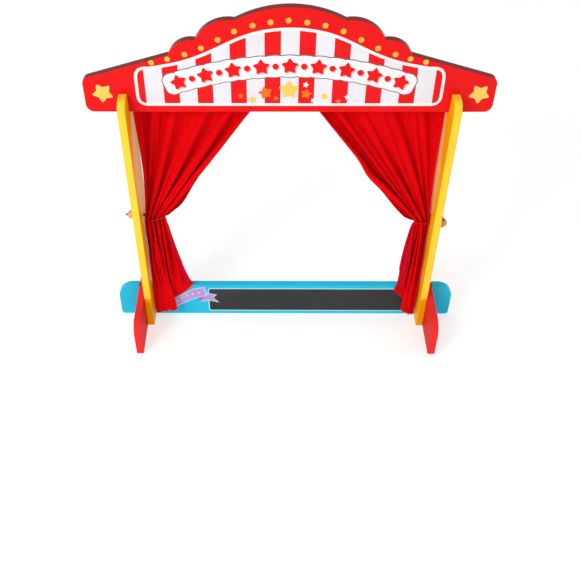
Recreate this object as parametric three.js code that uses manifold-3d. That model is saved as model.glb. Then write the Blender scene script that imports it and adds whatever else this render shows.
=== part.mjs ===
// Tabletop puppet theater stand: a knock-down frame of lacquered boards with two tied-back curtains.
// Units are millimetres. +Z is up, the audience looks along +Y, and the origin lies on the
// table, midway between the two feet. Boards cross each other in lap joints with no glue, the
// curtains hang on a hidden rod, and an elastic loop with a wooden bead holds each one back.
import * as THREE from "three";
import { mergeVertices } from "three/addons/utils/BufferGeometryUtils.js";
import Module from "manifold-3d";

const wasm = await Module();
wasm.setup();

// Boards and their joints
const boardThickness = 12;
const lapClearance = 0.3; // each side of a board in its slot, and under a seat
const faceGap = 0.3; // between two boards that are screwed face to face
const overrun = 2; // how far a cutting shape runs past the face that it cuts
const curveSteps = 10; // along each rounded corner or scallop
const roundSides = 24;

// Uprights
const stageWidth = 476; // clear width between the inner faces
const uprightHeight = 459;
const uprightDepth = 75;
const uprightTopRadius = 18;
const uprightBottomRadius = 3;

// Feet, one on the outer face of each upright
const footLength = 214;
const footHeight = 70;
const footTopRadius = 25;
const footBottomRadius = 3;

// Stage rail
const railOverhang = 51; // past the uprights' outer faces, each end
const railHeight = 72;
const railTopRadius = 28;
const railBottomRadius = 6;
const lapShare = 0.5; // share of a lap's height that is cut from the piece on top

// Header board
const headerOverhang = 51; // past the uprights' outer faces, each end
const headerHeight = 162.7;
const headerEndHeight = 54.4;
const headerCornerRadius = 12;
const headerSeat = 30.5; // how far the header sinks below the uprights' tops
// Scallop cusps, from the shoulder inwards: shares of the half length and of the height
const cuspShares = [
  { out: 0.573, up: 0.5642 },
  { out: 0.4435, up: 0.7038 },
  { out: 0.2558, up: 0.882 },
];
const scallopBulgeShares = [0.18, 0.167]; // rise of each scallop over its chord

// Curtain rod
const rodDiameter = 10;
const rodSeatDepth = 8.5; // of each blind hole
const rodEndPlay = 0.5; // at each end
const rodDrop = 18; // axis below the uprights' tops
const rodClearance = 0.3; // round the rod in its holes

// Foot screws, countersunk, two on each side
const screwDiameter = 3.6;
const screwHeadDiameter = 7.2;
const screwHeadHeight = 2.2;
const screwLength = 21;
const screwClearance = 0.3;
const screwSides = 16;
const screwSpacing = 44;
const screwHeight = 52;
const recessWidth = 0.9;
const recessDepth = 1.1;
const recessReachShare = 0.32; // of the head's diameter, each way

// Tie-backs: an elastic loop through a hole in each upright, knotted behind a bead
const tiebackHeight = 229;
const tiebackHoleDiameter = 7.4;
const cordDiameter = 2;
const strandSpacing = 3; // between the two strands where they share a hole
const cordClearance = 0.5; // between the loop and the cloth that it holds
const knotDiameter = 6.4;
const knotSides = { round: 12, down: 8 };
const cordSectionSteps = 4;
const bendShares = { out: 0.75, up: 0.85 }; // where slack elastic turns down to a hanging bead
// The loop round the cloth, from the upright to the leading edge: shares of the bunch's width
// and of the loop's depth
const loopShares = [
  { across: 0, depth: 0.62 },
  { across: 0.45, depth: 1 },
  { across: 0.84, depth: 0.8 },
  { across: 1, depth: 0 },
];
const cordStepShare = 2.4; // length of a step along the cord, over its diameter
const beadDiameter = 15;
const beadBoreDiameter = 5.8;
const beadFaceGap = 0.5; // between a snug bead and its upright

// Curtains
const clothThickness = 2.4; // measured from front to back
const pocketThickness = 1.8;
const pocketClearance = 0.4; // round the rod in the curtain's pocket
const pocketSides = 16;
const curtainEdgeGap = 1.6; // between a curtain and its upright
const foldCount = 6;
const stepsPerFold = 6;
const upperSteps = 7; // from the rod to the waist
const lowerSteps = 5; // from the waist to the hem
const headingFold = 4.6; // fold height under the rod, each way
const waistFold = 1.6;
const hemFold = 5.2;
const bunchDepth = 17; // front to back, where the elastic gathers the cloth
const bunchGap = 3.4; // between the bunch and its upright
const hemDepth = 7; // front to back, at the hem
const hemStandOff = 21; // of the hem's middle in front of the boards' mid-plane
const hemSpreadShare = 0.7; // of the cloth below the elastic, over which the bunch opens out

// What differs between the two curtains as they were drawn back
const sides = [
  {
    name: "left",
    sign: -1, // the side that mirrors the other
    spread: 191, // width on the rod
    length: 428, // from the rod's axis to the hem, along the cloth
    bunchWidth: 32,
    waistInner: 229, // height of the elastic at the leading edge
    waistOuter: 222, // and at the upright
    sag: 3, // of the leading edge above the elastic
    flare: 34, // of the leading corner at the hem
    hemWidth: 43,
    hanging: null, // the bead sits snug on its hole
  },
  {
    name: "right",
    sign: 1,
    spread: 201,
    length: 439,
    bunchWidth: 25,
    waistInner: 218,
    waistOuter: 220,
    sag: 19,
    flare: 20,
    hemWidth: 33,
    hanging: { drop: 17, reach: 11.5 }, // the bead hangs below its hole, out from the upright
  },
];

// Finishes
const finishes = {
  red: { color: 0xe8201c, roughness: 0.25, metalness: 0 },
  yellow: { color: 0xf7c62f, roughness: 0.25, metalness: 0 },
  blue: { color: 0x35b9dc, roughness: 0.25, metalness: 0 },
  wood: { color: 0xd8ac7c, roughness: 0.5, metalness: 0 },
  steel: { color: 0xb9bcc0, roughness: 0.3, metalness: 1 },
  cloth: { color: 0xc3060c, roughness: 0.85, metalness: 0 },
  elastic: { color: 0xb30a12, roughness: 0.8, metalness: 0 },
};

// Places that follow from the sizes above
const innerFace = stageWidth / 2;
const outerFace = innerFace + boardThickness;
const footInnerFace = outerFace + faceGap;
const footOuterFace = footInnerFace + boardThickness;
const headerBottom = uprightHeight - headerSeat;
const headerLapTop = headerBottom + headerSeat * lapShare;
const railLapTop = railHeight * lapShare;
const slotHalfWidth = boardThickness / 2 + lapClearance;
const rodBack = (slotHalfWidth + uprightDepth / 2) / 2; // middle of the rear prong
const rodHeight = uprightHeight - rodDrop;
const clothEdge = innerFace - curtainEdgeGap;

// An outline in a plane, counter-clockwise. A vertex may have a corner radius r, and the edge
// that leaves it may bow outwards by a share of its length, given as bulge.
function outline(vertices) {
  const at = (v) => new THREE.Vector2(v.x, v.y);
  const count = vertices.length;
  const shape = new THREE.Shape();
  vertices.forEach((vertex, i) => {
    const here = at(vertex);
    const before = at(vertices[(i + count - 1) % count]);
    const after = at(vertices[(i + 1) % count]);
    if (vertex.r) {
      const back = before.clone().sub(here).normalize();
      const ahead = after.clone().sub(here).normalize();
      const half = Math.acos(THREE.MathUtils.clamp(back.dot(ahead), -1, 1)) / 2;
      const reach = vertex.r / Math.tan(half);
      const middle = back.clone().add(ahead).normalize();
      const centre = here.clone().addScaledVector(middle, vertex.r / Math.sin(half));
      const start = here.clone().addScaledVector(back, reach);
      const end = here.clone().addScaledVector(ahead, reach);
      lineOrMove(shape, start, i);
      arc(shape, centre, vertex.r, start, end, back.cross(ahead) > 0);
    } else {
      lineOrMove(shape, here, i);
    }
    if (vertex.bulge) bow(shape, here, after, vertex.bulge);
  });
  shape.closePath();
  return shape;
}

function lineOrMove(shape, point, index) {
  if (index === 0) shape.moveTo(point.x, point.y);
  else shape.lineTo(point.x, point.y);
}

function arc(shape, centre, radius, start, end, clockwise) {
  const angle = (p) => Math.atan2(p.y - centre.y, p.x - centre.x);
  shape.absarc(centre.x, centre.y, radius, angle(start), angle(end), clockwise);
}

// An arc from one point to the next that bows out by a share of the chord.
function bow(shape, from, to, bulge) {
  const chord = to.clone().sub(from);
  const rise = bulge * chord.length();
  const radius = (chord.lengthSq() / 4 + rise * rise) / (2 * rise);
  const inwards = new THREE.Vector2(-chord.y, chord.x).normalize();
  const centre = from
    .clone()
    .add(to)
    .multiplyScalar(0.5)
    .addScaledVector(inwards, radius - rise);
  arc(shape, centre, radius, from, to, false);
}

function rectangle(left, bottom, right, top, topRadius, bottomRadius) {
  return outline([
    { x: left, y: bottom, r: bottomRadius },
    { x: right, y: bottom, r: bottomRadius },
    { x: right, y: top, r: topRadius },
    { x: left, y: top, r: topRadius },
  ]);
}

// A manifold solid of a closed three.js geometry.
function solid(geometry) {
  const bare = geometry.index ? geometry.clone() : geometry;
  bare.deleteAttribute("normal");
  bare.deleteAttribute("uv");
  const merged = mergeVertices(bare);
  const mesh = new wasm.Mesh({
    numProp: 3,
    vertProperties: merged.attributes.position.array,
    triVerts: new Uint32Array(merged.index.array),
  });
  return new wasm.Manifold(mesh);
}

// A named mesh of a solid, with its finish, placed by the offset of its own origin.
function named(name, shape, finish, place = [0, 0, 0]) {
  const mesh = shape.getMesh();
  const geometry = new THREE.BufferGeometry();
  geometry.setAttribute("position", new THREE.BufferAttribute(mesh.vertProperties, 3));
  geometry.setIndex(new THREE.BufferAttribute(mesh.triVerts, 1));
  geometry.computeVertexNormals();
  const made = new THREE.Mesh(geometry, new THREE.MeshStandardMaterial(finish));
  made.name = name;
  made.position.set(...place);
  return made;
}

// A board that faces the audience: its outline is in X and Z, and it is centred on Y = 0.
function facingBoard(shape) {
  const geometry = new THREE.ExtrudeGeometry(shape, {
    depth: boardThickness,
    bevelEnabled: false,
    curveSegments: curveSteps,
  });
  geometry.translate(0, 0, -boardThickness / 2);
  geometry.rotateX(Math.PI / 2);
  return solid(geometry);
}

// A board across the stage: its outline is in Y and Z, and its inner face lies on X = 0.
function crossBoard(shape) {
  const geometry = new THREE.ExtrudeGeometry(shape, {
    depth: boardThickness,
    bevelEnabled: false,
    curveSegments: curveSteps,
  });
  const axes = new THREE.Matrix4().makeBasis(
    new THREE.Vector3(0, 1, 0),
    new THREE.Vector3(0, 0, 1),
    new THREE.Vector3(1, 0, 0),
  );
  geometry.applyMatrix4(axes);
  return solid(geometry);
}

// A round bar along X between two places, at a height and a distance from the mid-plane.
function barAlongX(radius, from, to, y, z, sides = roundSides) {
  const geometry = new THREE.CylinderGeometry(radius, radius, to - from, sides);
  geometry.rotateZ(Math.PI / 2);
  geometry.translate((from + to) / 2, y, z);
  return solid(geometry);
}

function block(low, high) {
  const size = high.map((value, i) => value - low[i]);
  const geometry = new THREE.BoxGeometry(...size);
  geometry.translate(...high.map((value, i) => (value + low[i]) / 2));
  return solid(geometry);
}

// A board less a notch at each end of the stage, given by the one on the right.
function notched(board, low, high) {
  const right = block(low, high);
  const left = block([-high[0], low[1], low[2]], [-low[0], high[1], high[2]]);
  return board.subtract(right).subtract(left);
}

// The header board, from its lower edge upwards.
function headerBoard() {
  const half = outerFace + headerOverhang;
  const cusps = cuspShares.map((share) => ({ x: half * share.out, y: headerHeight * share.up }));
  const [shoulder, scallop, crown] = cusps;
  const crownBulge = (headerHeight - crown.y) / (2 * crown.x);
  const shape = outline([
    { x: -half, y: 0, r: headerCornerRadius },
    { x: half, y: 0, r: headerCornerRadius },
    { x: half, y: headerEndHeight, r: headerCornerRadius },
    { ...shoulder, bulge: scallopBulgeShares[0] },
    { ...scallop, bulge: scallopBulgeShares[1] },
    { ...crown, bulge: crownBulge },
    { x: -crown.x, y: crown.y, bulge: scallopBulgeShares[1] },
    { x: -scallop.x, y: scallop.y, bulge: scallopBulgeShares[0] },
    { x: -shoulder.x, y: shoulder.y },
    { x: -half, y: headerEndHeight, r: headerCornerRadius },
  ]);
  return notched(
    facingBoard(shape),
    [innerFace - lapClearance, -boardThickness, -overrun],
    [outerFace + lapClearance, boardThickness, headerLapTop - headerBottom],
  );
}

function stageRail() {
  const half = outerFace + railOverhang;
  return notched(
    facingBoard(rectangle(-half, 0, half, railHeight, railTopRadius, railBottomRadius)),
    [innerFace - lapClearance, -boardThickness, railLapTop],
    [footOuterFace + lapClearance, boardThickness, railHeight + overrun],
  );
}

// The slot from below that lets an upright or a foot drop over the rail.
function railSlot() {
  return block(
    [-overrun, -slotHalfWidth, -overrun],
    [boardThickness + overrun, slotHalfWidth, railLapTop + lapClearance],
  );
}

function screwPlaces() {
  return [-screwSpacing / 2, screwSpacing / 2];
}

function upright() {
  const half = uprightDepth / 2;
  const board = crossBoard(
    rectangle(-half, 0, half, uprightHeight, uprightTopRadius, uprightBottomRadius),
  );
  const headerSlot = block(
    [-overrun, -slotHalfWidth, headerLapTop - lapClearance],
    [boardThickness + overrun, slotHalfWidth, uprightHeight + overrun],
  );
  const rodHoleRadius = rodDiameter / 2 + rodClearance;
  const rodHole = barAlongX(rodHoleRadius, -overrun, rodSeatDepth, rodBack, rodHeight);
  const through = boardThickness + overrun;
  const cordHole = barAlongX(tiebackHoleDiameter / 2, -overrun, through, 0, tiebackHeight);
  const pilotEnd = footOuterFace - innerFace - screwLength - screwClearance;
  const pilotRadius = screwDiameter / 2 + screwClearance;
  const pilots = screwPlaces().map((y) =>
    barAlongX(pilotRadius, pilotEnd, through, y, screwHeight, screwSides),
  );
  const cuts = [headerSlot, railSlot(), rodHole, cordHole, ...pilots];
  return cuts.reduce((body, cut) => body.subtract(cut), board);
}

// The shank and countersunk head of a foot screw along X, grown on all sides by a clearance.
// Its head ends at X = 0.
function screwForm(clearance) {
  const shank = screwDiameter / 2 + clearance;
  const head = screwHeadDiameter / 2 + clearance;
  const profile = [
    new THREE.Vector2(0, -screwLength - clearance),
    new THREE.Vector2(shank, -screwLength - clearance),
    new THREE.Vector2(shank, -screwHeadHeight),
    new THREE.Vector2(head, 0),
    new THREE.Vector2(0, 0),
  ];
  return new THREE.LatheGeometry(profile, screwSides).rotateZ(-Math.PI / 2);
}

function foot() {
  const half = footLength / 2;
  const board = crossBoard(
    rectangle(-half, 0, half, footHeight, footTopRadius, footBottomRadius),
  );
  const sinks = screwPlaces().map((y) =>
    solid(screwForm(screwClearance).translate(boardThickness, y, screwHeight)),
  );
  return [railSlot(), ...sinks].reduce((body, cut) => body.subtract(cut), board);
}

// A flat-headed cross-recess screw.
function footScrew() {
  const reach = screwHeadDiameter * recessReachShare;
  const half = recessWidth / 2;
  const bars = [
    block([-recessDepth, -reach, -half], [overrun, reach, half]),
    block([-recessDepth, -half, -reach], [overrun, half, reach]),
  ];
  return bars.reduce((body, bar) => body.subtract(bar), solid(screwForm(0)));
}

function curtainRod() {
  const end = innerFace + rodSeatDepth - rodEndPlay;
  return barAlongX(rodDiameter / 2, -end, end, 0, 0);
}

// Where the elastic holds a curtain, measured outwards from the middle of the stage.
function waistOf(side) {
  const outer = innerFace - bunchGap;
  return { outer, inner: outer - side.bunchWidth };
}

// Blends from a to b as t goes from 0 to 1.
const mix = THREE.MathUtils.lerp;
const ease = (t) => THREE.MathUtils.smootherstep(t, 0, 1);

// Where a thread of the cloth leaves the rod. The share across runs from the leading edge to
// the upright.
function rodPointOf(side, across) {
  const x = mix(clothEdge - side.spread, clothEdge, across);
  return new THREE.Vector3(x, rodBack, rodHeight);
}

// Where the elastic holds the same thread.
function waistPointOf(side, across) {
  const waist = waistOf(side);
  const height = mix(side.waistInner, side.waistOuter, across);
  return new THREE.Vector3(mix(waist.inner, waist.outer, across), 0, height);
}

// One point in the middle of the cloth. The height along is 0 at the rod, 1 at the elastic and
// 2 at the hem, and every thread keeps the curtain's length, so the leading edge, which travels
// furthest sideways, ends highest.
function threadPoint(side, across, along) {
  const rodPoint = rodPointOf(side, across);
  const waistPoint = waistPointOf(side, across);
  const rest = side.length - rodPoint.distanceTo(waistPoint);
  const flare = side.flare * (1 - across) ** 3;
  const hemX = mix(clothEdge - side.hemWidth, clothEdge, across) - flare;
  const sideways = Math.hypot(hemX - waistPoint.x, hemStandOff);
  const hemPoint = new THREE.Vector3(
    hemX,
    -hemStandOff,
    waistPoint.z - Math.sqrt(Math.max(rest * rest - sideways * sideways, 0)),
  );
  if (along <= 1) {
    const point = rodPoint.clone().lerp(waistPoint, along);
    const sag = side.sag * (1 - across) * Math.sin(Math.PI * along);
    point.x -= sag;
    point.z -= sag / 2;
    return point;
  }
  const t = along - 1;
  const point = waistPoint.clone().lerp(hemPoint, t);
  point.y = mix(0, -hemStandOff, Math.sin((Math.PI / 2) * t));
  return point;
}

// Fold height and cloth depth at a height along the curtain.
function gatherAt(along) {
  if (along <= 1) {
    const t = ease(along);
    const start = Math.min(1, along * upperSteps);
    return {
      fold: mix(headingFold, waistFold, t) * start,
      depth: mix(clothThickness, bunchDepth, t * t),
    };
  }
  const t = ease(Math.min(1, (along - 1) / hemSpreadShare));
  return { fold: mix(waistFold, hemFold, t), depth: mix(bunchDepth, hemDepth, t) };
}

// Corner points of the cloth, row by row from the rod down, its front face first.
function clothPoints(side, rows, columns) {
  const pocketReach = rodDiameter / 2 + pocketClearance + pocketThickness / 2;
  const positions = [];
  for (const face of [-1, 1])
    for (let row = 0; row <= rows; row++)
      for (let column = 0; column <= columns; column++) {
        const across = column / columns;
        const along = row <= upperSteps ? row / upperSteps : 1 + (row - upperSteps) / lowerSteps;
        const { fold, depth } = gatherAt(along);
        const drop = rodPointOf(side, across).distanceTo(waistPointOf(side, across));
        const point = threadPoint(side, across, Math.max(along, pocketReach / drop));
        const wave = fold * Math.sin(2 * Math.PI * foldCount * across);
        const edge = Math.sqrt(Math.sin(Math.PI * across));
        const thickness = mix(clothThickness, depth, edge);
        positions.push(point.x, point.y + wave + (face * thickness) / 2, point.z);
      }
  return positions;
}

// Triangles that close two grids of points, front and back, into one sheet with four rims.
function sheetTriangles(rows, columns) {
  const index = (face, row, column) => (face * (rows + 1) + row) * (columns + 1) + column;
  const triangles = [];
  const quad = (a, b, c, d) => triangles.push(a, b, c, a, c, d);
  for (let row = 0; row < rows; row++) {
    for (let column = 0; column < columns; column++)
      for (const face of [0, 1]) {
        const corners = [
          index(face, row, column),
          index(face, row + 1, column),
          index(face, row + 1, column + 1),
          index(face, row, column + 1),
        ];
        quad(...(face ? corners.reverse() : corners));
      }
    quad(index(0, row, 0), index(1, row, 0), index(1, row + 1, 0), index(0, row + 1, 0));
    const [a, b] = [index(0, row, columns), index(0, row + 1, columns)];
    quad(a, b, index(1, row + 1, columns), index(1, row, columns));
  }
  for (let column = 0; column < columns; column++) {
    const [a, b] = [index(0, 0, column), index(0, 0, column + 1)];
    quad(a, b, index(1, 0, column + 1), index(1, 0, column));
    const [c, d] = [index(0, rows, column), index(1, rows, column)];
    quad(c, d, index(1, rows, column + 1), index(0, rows, column + 1));
  }
  return triangles;
}

// A gathered curtain with its rod pocket: pleats that close up at the elastic and open below.
function curtain(side) {
  const columns = foldCount * stepsPerFold;
  const rows = upperSteps + lowerSteps;
  const geometry = new THREE.BufferGeometry();
  const positions = clothPoints(side, rows, columns);
  geometry.setAttribute("position", new THREE.Float32BufferAttribute(positions, 3));
  geometry.setIndex(sheetTriangles(rows, columns));
  return solid(geometry).add(rodPocket(side));
}

// The stitched tube at the top of a curtain that slides on the rod.
function rodPocket(side) {
  const bore = rodDiameter / 2 + pocketClearance;
  const from = clothEdge - side.spread;
  const outer = bore + pocketThickness;
  const outside = barAlongX(outer, from, clothEdge, rodBack, rodHeight, pocketSides);
  const [start, end] = [from - overrun, clothEdge + overrun];
  const inside = barAlongX(bore, start, end, rodBack, rodHeight, pocketSides);
  return outside.subtract(inside);
}

// Where a bead sits: snug against its hole, or hanging a little below it.
function beadCentre(side) {
  const { hanging } = side;
  if (hanging)
    return new THREE.Vector3(outerFace + hanging.reach, 0, tiebackHeight - hanging.drop);
  return new THREE.Vector3(outerFace + beadFaceGap + beadDiameter / 2, 0, tiebackHeight);
}

// A turned ball, its bore along X where it is snug, and upright where it hangs.
function bead(side) {
  const radius = beadDiameter / 2;
  const start = Math.asin(beadBoreDiameter / beadDiameter);
  const profile = [];
  for (let i = 0; i <= roundSides / 2; i++) {
    const angle = mix(start, Math.PI - start, (2 * i) / roundSides);
    profile.push(new THREE.Vector2(radius * Math.sin(angle), -radius * Math.cos(angle)));
  }
  profile.push(profile[0].clone());
  const geometry = new THREE.LatheGeometry(profile, roundSides);
  if (side.hanging) geometry.rotateX(Math.PI / 2);
  else geometry.rotateZ(-Math.PI / 2);
  return solid(geometry);
}

// Half of the elastic's route: from the knot through the bead and the hole, then round behind
// the gathered cloth to its leading edge.
function halfLoop(side) {
  const waist = waistOf(side);
  const half = strandSpacing / 2;
  const skirt = waistFold + cordClearance + cordDiameter / 2;
  const depth = bunchDepth / 2 + skirt;
  const nose = waist.inner - skirt;
  const bead = beadCentre(side);
  const reach = beadDiameter / 2;
  const hanging = [
    [bead.x, half, bead.z - reach - knotDiameter / 2],
    [bead.x, half, bead.z],
    [bead.x, half, bead.z + reach],
    [mix(outerFace, bead.x, bendShares.out), half, mix(bead.z, tiebackHeight, bendShares.up)],
  ];
  const snug = [
    [bead.x + reach + knotDiameter / 2, half, bead.z],
    [bead.x, half, bead.z],
  ];
  const { waistInner, waistOuter } = side;
  return [
    ...(side.hanging ? hanging : snug),
    [outerFace, half, tiebackHeight],
    [innerFace, half, tiebackHeight],
    ...loopShares.map(({ across, depth: share }) => [
      mix(waist.outer, nose, across),
      depth * share,
      mix(mix(tiebackHeight, waistOuter, share), waistInner, across),
    ]),
  ];
}

// The whole loop, back to the knot along the front of the cloth.
function loopRoute(side) {
  const back = halfLoop(side);
  const front = back.map(([x, y, z]) => [x, -y, z]).reverse();
  const points = [...back, ...front.slice(1)].map((p) => new THREE.Vector3(...p));
  return new THREE.CatmullRomCurve3(points, false, "centripetal");
}

function tiebackCord(side) {
  const route = loopRoute(side);
  const section = new THREE.Shape();
  section.absarc(0, 0, cordDiameter / 2, 0, 2 * Math.PI, false);
  const geometry = new THREE.ExtrudeGeometry(section, {
    steps: Math.round(route.getLength() / (cordStepShare * cordDiameter)),
    extrudePath: route,
    curveSegments: cordSectionSteps,
  });
  const knotCentre = route.getPoint(0).setY(0);
  const knot = new THREE.SphereGeometry(knotDiameter / 2, knotSides.round, knotSides.down);
  knot.translate(knotCentre.x, knotCentre.y, knotCentre.z);
  return solid(geometry).add(solid(knot));
}

// The pieces of one side of the stand, modelled for the right: the left is its mirror image.
function standSide(side) {
  const group = new THREE.Group();
  const add = (name, shape, finish, place) =>
    group.add(named(side.name + "_" + name, shape, finish, place));
  add("upright", upright(), finishes.yellow, [innerFace, 0, 0]);
  add("foot", foot(), finishes.red, [footInnerFace, 0, 0]);
  const [front, rear] = screwPlaces();
  add("foot_screw_front", footScrew(), finishes.steel, [footOuterFace, front, screwHeight]);
  add("foot_screw_rear", footScrew(), finishes.steel, [footOuterFace, rear, screwHeight]);
  add("curtain", curtain(side), finishes.cloth);
  add("tieback_cord", tiebackCord(side), finishes.elastic);
  add("tieback_bead", bead(side), finishes.wood, beadCentre(side).toArray());
  group.scale.x = side.sign;
  return group;
}

const theater = new THREE.Group();
theater.add(named("header_board", headerBoard(), finishes.red, [0, 0, headerBottom]));
theater.add(named("stage_rail", stageRail(), finishes.blue));
theater.add(named("curtain_rod", curtainRod(), finishes.wood, [0, rodBack, rodHeight]));
for (const side of sides) theater.add(standSide(side));

export default theater;
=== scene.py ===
"""Looks of a tabletop puppet theater stand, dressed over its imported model.

Lengths are in metres in the model's own frame: +Z is up, the audience sits on the -Y side, and
the origin lies on the table, midway between the feet. What is printed on a board is drawn in
millimetres in X and Z, because it lies flat on the board's front face.
"""

from __future__ import annotations

import logging
import math
from dataclasses import dataclass
from enum import Enum
from functools import cache
from typing import Mapping, Sequence, Union

import bmesh
import bpy
import numpy as np
from mathutils import Matrix, Vector


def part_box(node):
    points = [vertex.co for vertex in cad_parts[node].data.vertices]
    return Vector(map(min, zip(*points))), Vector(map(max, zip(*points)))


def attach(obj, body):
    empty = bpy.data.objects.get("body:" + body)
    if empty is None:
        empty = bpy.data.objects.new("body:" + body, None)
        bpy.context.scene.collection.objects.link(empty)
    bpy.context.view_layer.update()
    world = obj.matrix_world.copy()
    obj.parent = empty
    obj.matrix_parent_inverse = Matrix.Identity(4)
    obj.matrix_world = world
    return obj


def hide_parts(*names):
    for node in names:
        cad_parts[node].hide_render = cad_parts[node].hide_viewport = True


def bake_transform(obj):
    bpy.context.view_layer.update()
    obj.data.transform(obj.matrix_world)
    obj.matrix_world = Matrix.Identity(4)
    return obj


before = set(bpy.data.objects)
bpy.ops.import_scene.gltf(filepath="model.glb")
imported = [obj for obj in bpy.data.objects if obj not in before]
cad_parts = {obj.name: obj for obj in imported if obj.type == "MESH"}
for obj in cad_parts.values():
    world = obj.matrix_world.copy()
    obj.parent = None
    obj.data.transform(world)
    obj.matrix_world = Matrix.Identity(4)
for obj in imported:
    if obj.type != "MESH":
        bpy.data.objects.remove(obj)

log = logging.getLogger("stand")

MM = 0.001

Colour = tuple[float, float, float]
Point2 = tuple[float, float]
Point3 = tuple[float, float, float]
Points = tuple[Point2, ...]
Outline = list[Point2]


def srgb(red: int, green: int, blue: int) -> Colour:
    """Turn a colour as a screen shows it, each part from 0 to 255, into linear light.

    Args:
        red: red part.
        green: green part.
        blue: blue part.

    Returns:
        The three parts in linear light, from 0 to 1.
    """

    def linear(part: int) -> float:
        """Return one part in linear light."""
        share = part / 255
        return share / 12.92 if share <= 0.04045 else ((share + 0.055) / 1.055) ** 2.4

    return linear(red), linear(green), linear(blue)


# Shader maths


class Term:
    """A value inside a material, on which Python's operators work."""

    def __init__(self, paint: Paint, socket: bpy.types.NodeSocket) -> None:
        """Wrap an output socket of a material."""
        self.paint = paint
        self.socket = socket

    def __add__(self, other: Operand) -> Term:
        """Return this value plus another."""
        return self.paint.maths("ADD", self, other)

    __radd__ = __add__

    def __sub__(self, other: Operand) -> Term:
        """Return this value less another."""
        return self.paint.maths("SUBTRACT", self, other)

    def __rsub__(self, other: Operand) -> Term:
        """Return another value less this one."""
        return self.paint.maths("SUBTRACT", other, self)

    def __mul__(self, other: Operand) -> Term:
        """Return this value times another."""
        return self.paint.maths("MULTIPLY", self, other)

    __rmul__ = __mul__

    def __abs__(self) -> Term:
        """Return the size of this value."""
        return self.paint.maths("ABSOLUTE", self)

    def sine(self) -> Term:
        """Return the sine of this value, in radians."""
        return self.paint.maths("SINE", self)

    def step(self, low: float, high: float) -> Term:
        """Return a smooth step.

        Args:
            low: value where the step leaves 0.
            high: value where the step reaches 1.

        Returns:
            A value from 0 to 1.
        """
        return self.paint.node(
            "ShaderNodeMapRange",
            {"interpolation_type": "SMOOTHSTEP"},
            {"Value": self, "From Min": low, "From Max": high},
        )

    def part(self, axis: str) -> Term:
        """Return a vector's part along X, Y or Z."""
        return self.paint.node("ShaderNodeSeparateXYZ", {}, {"Vector": self}, axis)


Operand = Union[Term, float]
Given = Union[Term, float, Sequence[float]]


class Paint:
    """A material and the nodes that make it."""

    def __init__(self, name: str) -> None:
        """Start a material with no nodes.

        Args:
            name: the material's name.
        """
        self.material = bpy.data.materials.new(name)
        self.material.use_nodes = True
        self.tree = self.material.node_tree
        self.tree.nodes.clear()

    def node(
        self,
        kind: str,
        settings: Mapping[str, object] | None = None,
        sockets: Mapping[Union[int, str], Given] | None = None,
        output: Union[int, str] = 0,
    ) -> Term:
        """Add any node.

        Args:
            kind: the node's type.
            settings: its settings, set before its inputs.
            sockets: values or links of its inputs, by name or number.
            output: name or number of the output that is wanted.

        Returns:
            That output.
        """
        made = self.tree.nodes.new(kind)
        for name, value in (settings or {}).items():
            setattr(made, name, value)
        for name, value in (sockets or {}).items():
            if isinstance(value, Term):
                self.tree.links.new(value.socket, made.inputs[name])
            else:
                given = made.inputs[name]
                alpha = given.type == "RGBA" and len(value) == 3
                given.default_value = (*value, 1.0) if alpha else value
        return Term(self, made.outputs[output])

    def maths(self, operation: str, *values: Operand) -> Term:
        """Return the outcome of an operation on one or two values."""
        return self.node("ShaderNodeMath", {"operation": operation}, dict(enumerate(values)))

    def place(self) -> Term:
        """Return the point that is shaded, in the model's frame."""
        return self.node("ShaderNodeTexCoord", output="Object")

    def facing(self) -> Term:
        """Return the direction that the surface faces, in the model's frame."""
        return self.node("ShaderNodeTexCoord", output="Normal")

    def stretched(self, place: Term, scale: Sequence[float]) -> Term:
        """Return a place with each of its parts scaled by a factor."""
        return self.node("ShaderNodeVectorMath", {"operation": "MULTIPLY"}, {0: place, 1: scale})

    def noise(self, place: Term, scale: float, detail: float = 2.0) -> Term:
        """Return a cloudy value round one half, with a number of clouds to the metre."""
        sockets = {"Vector": place, "Scale": scale, "Detail": detail}
        return self.node("ShaderNodeTexNoise", {}, sockets)

    def mixed(self, share: Operand, first: Given, second: Given) -> Term:
        """Return a colour between two, the first at a share of 0 and the second at 1."""
        colours = {0: share, 6: first, 7: second}
        return self.node("ShaderNodeMix", {"data_type": "RGBA"}, colours, output=2)

    def tinted(self, colour: Colour, amount: Term, spread: float) -> Term:
        """Return a colour that goes a little darker and lighter.

        Args:
            colour: the colour.
            amount: a value round one half.
            spread: share by which the colour may change, each way.

        Returns:
            The colour that varies.
        """
        dark = tuple(part * (1 - spread) for part in colour)
        light = tuple(min(1.0, part * (1 + spread)) for part in colour)
        return self.mixed(amount.step(0.3, 0.7), dark, light)

    def cut(self) -> Term:
        """Return where the point that is shaded lay in the flat cloth or on the straight cord."""
        return self.node("ShaderNodeAttribute", {"attribute_name": "cut"}, output="Vector")

    def bump(self, height: Term, strength: float, distance: float) -> Term:
        """Return a normal that follows a height from 0 to 1, over a distance in metres."""
        sockets = {"Height": height, "Strength": strength, "Distance": distance}
        return self.node("ShaderNodeBump", {}, sockets)

    def surface(self, sockets: Mapping[str, Given]) -> bpy.types.Material:
        """End the material with its surface.

        Args:
            sockets: values or links of the surface's inputs, by name.

        Returns:
            The finished material.
        """
        shader = self.node("ShaderNodeBsdfPrincipled", {}, sockets)
        end = self.tree.nodes.new("ShaderNodeOutputMaterial")
        self.tree.links.new(shader.socket, end.inputs["Surface"])
        return self.material


# Finishes


def darker(colour: Colour, share: float) -> Colour:
    """Return a colour of which only a share is left."""
    return tuple(part * share for part in colour)


class Edge(Enum):
    """Which faces of a board count as its edges, each with the axis that tells them."""

    UPPER = "Z"  # those that face up
    NARROW = "X"  # on a board that stands across X, those that don't face along it


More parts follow.
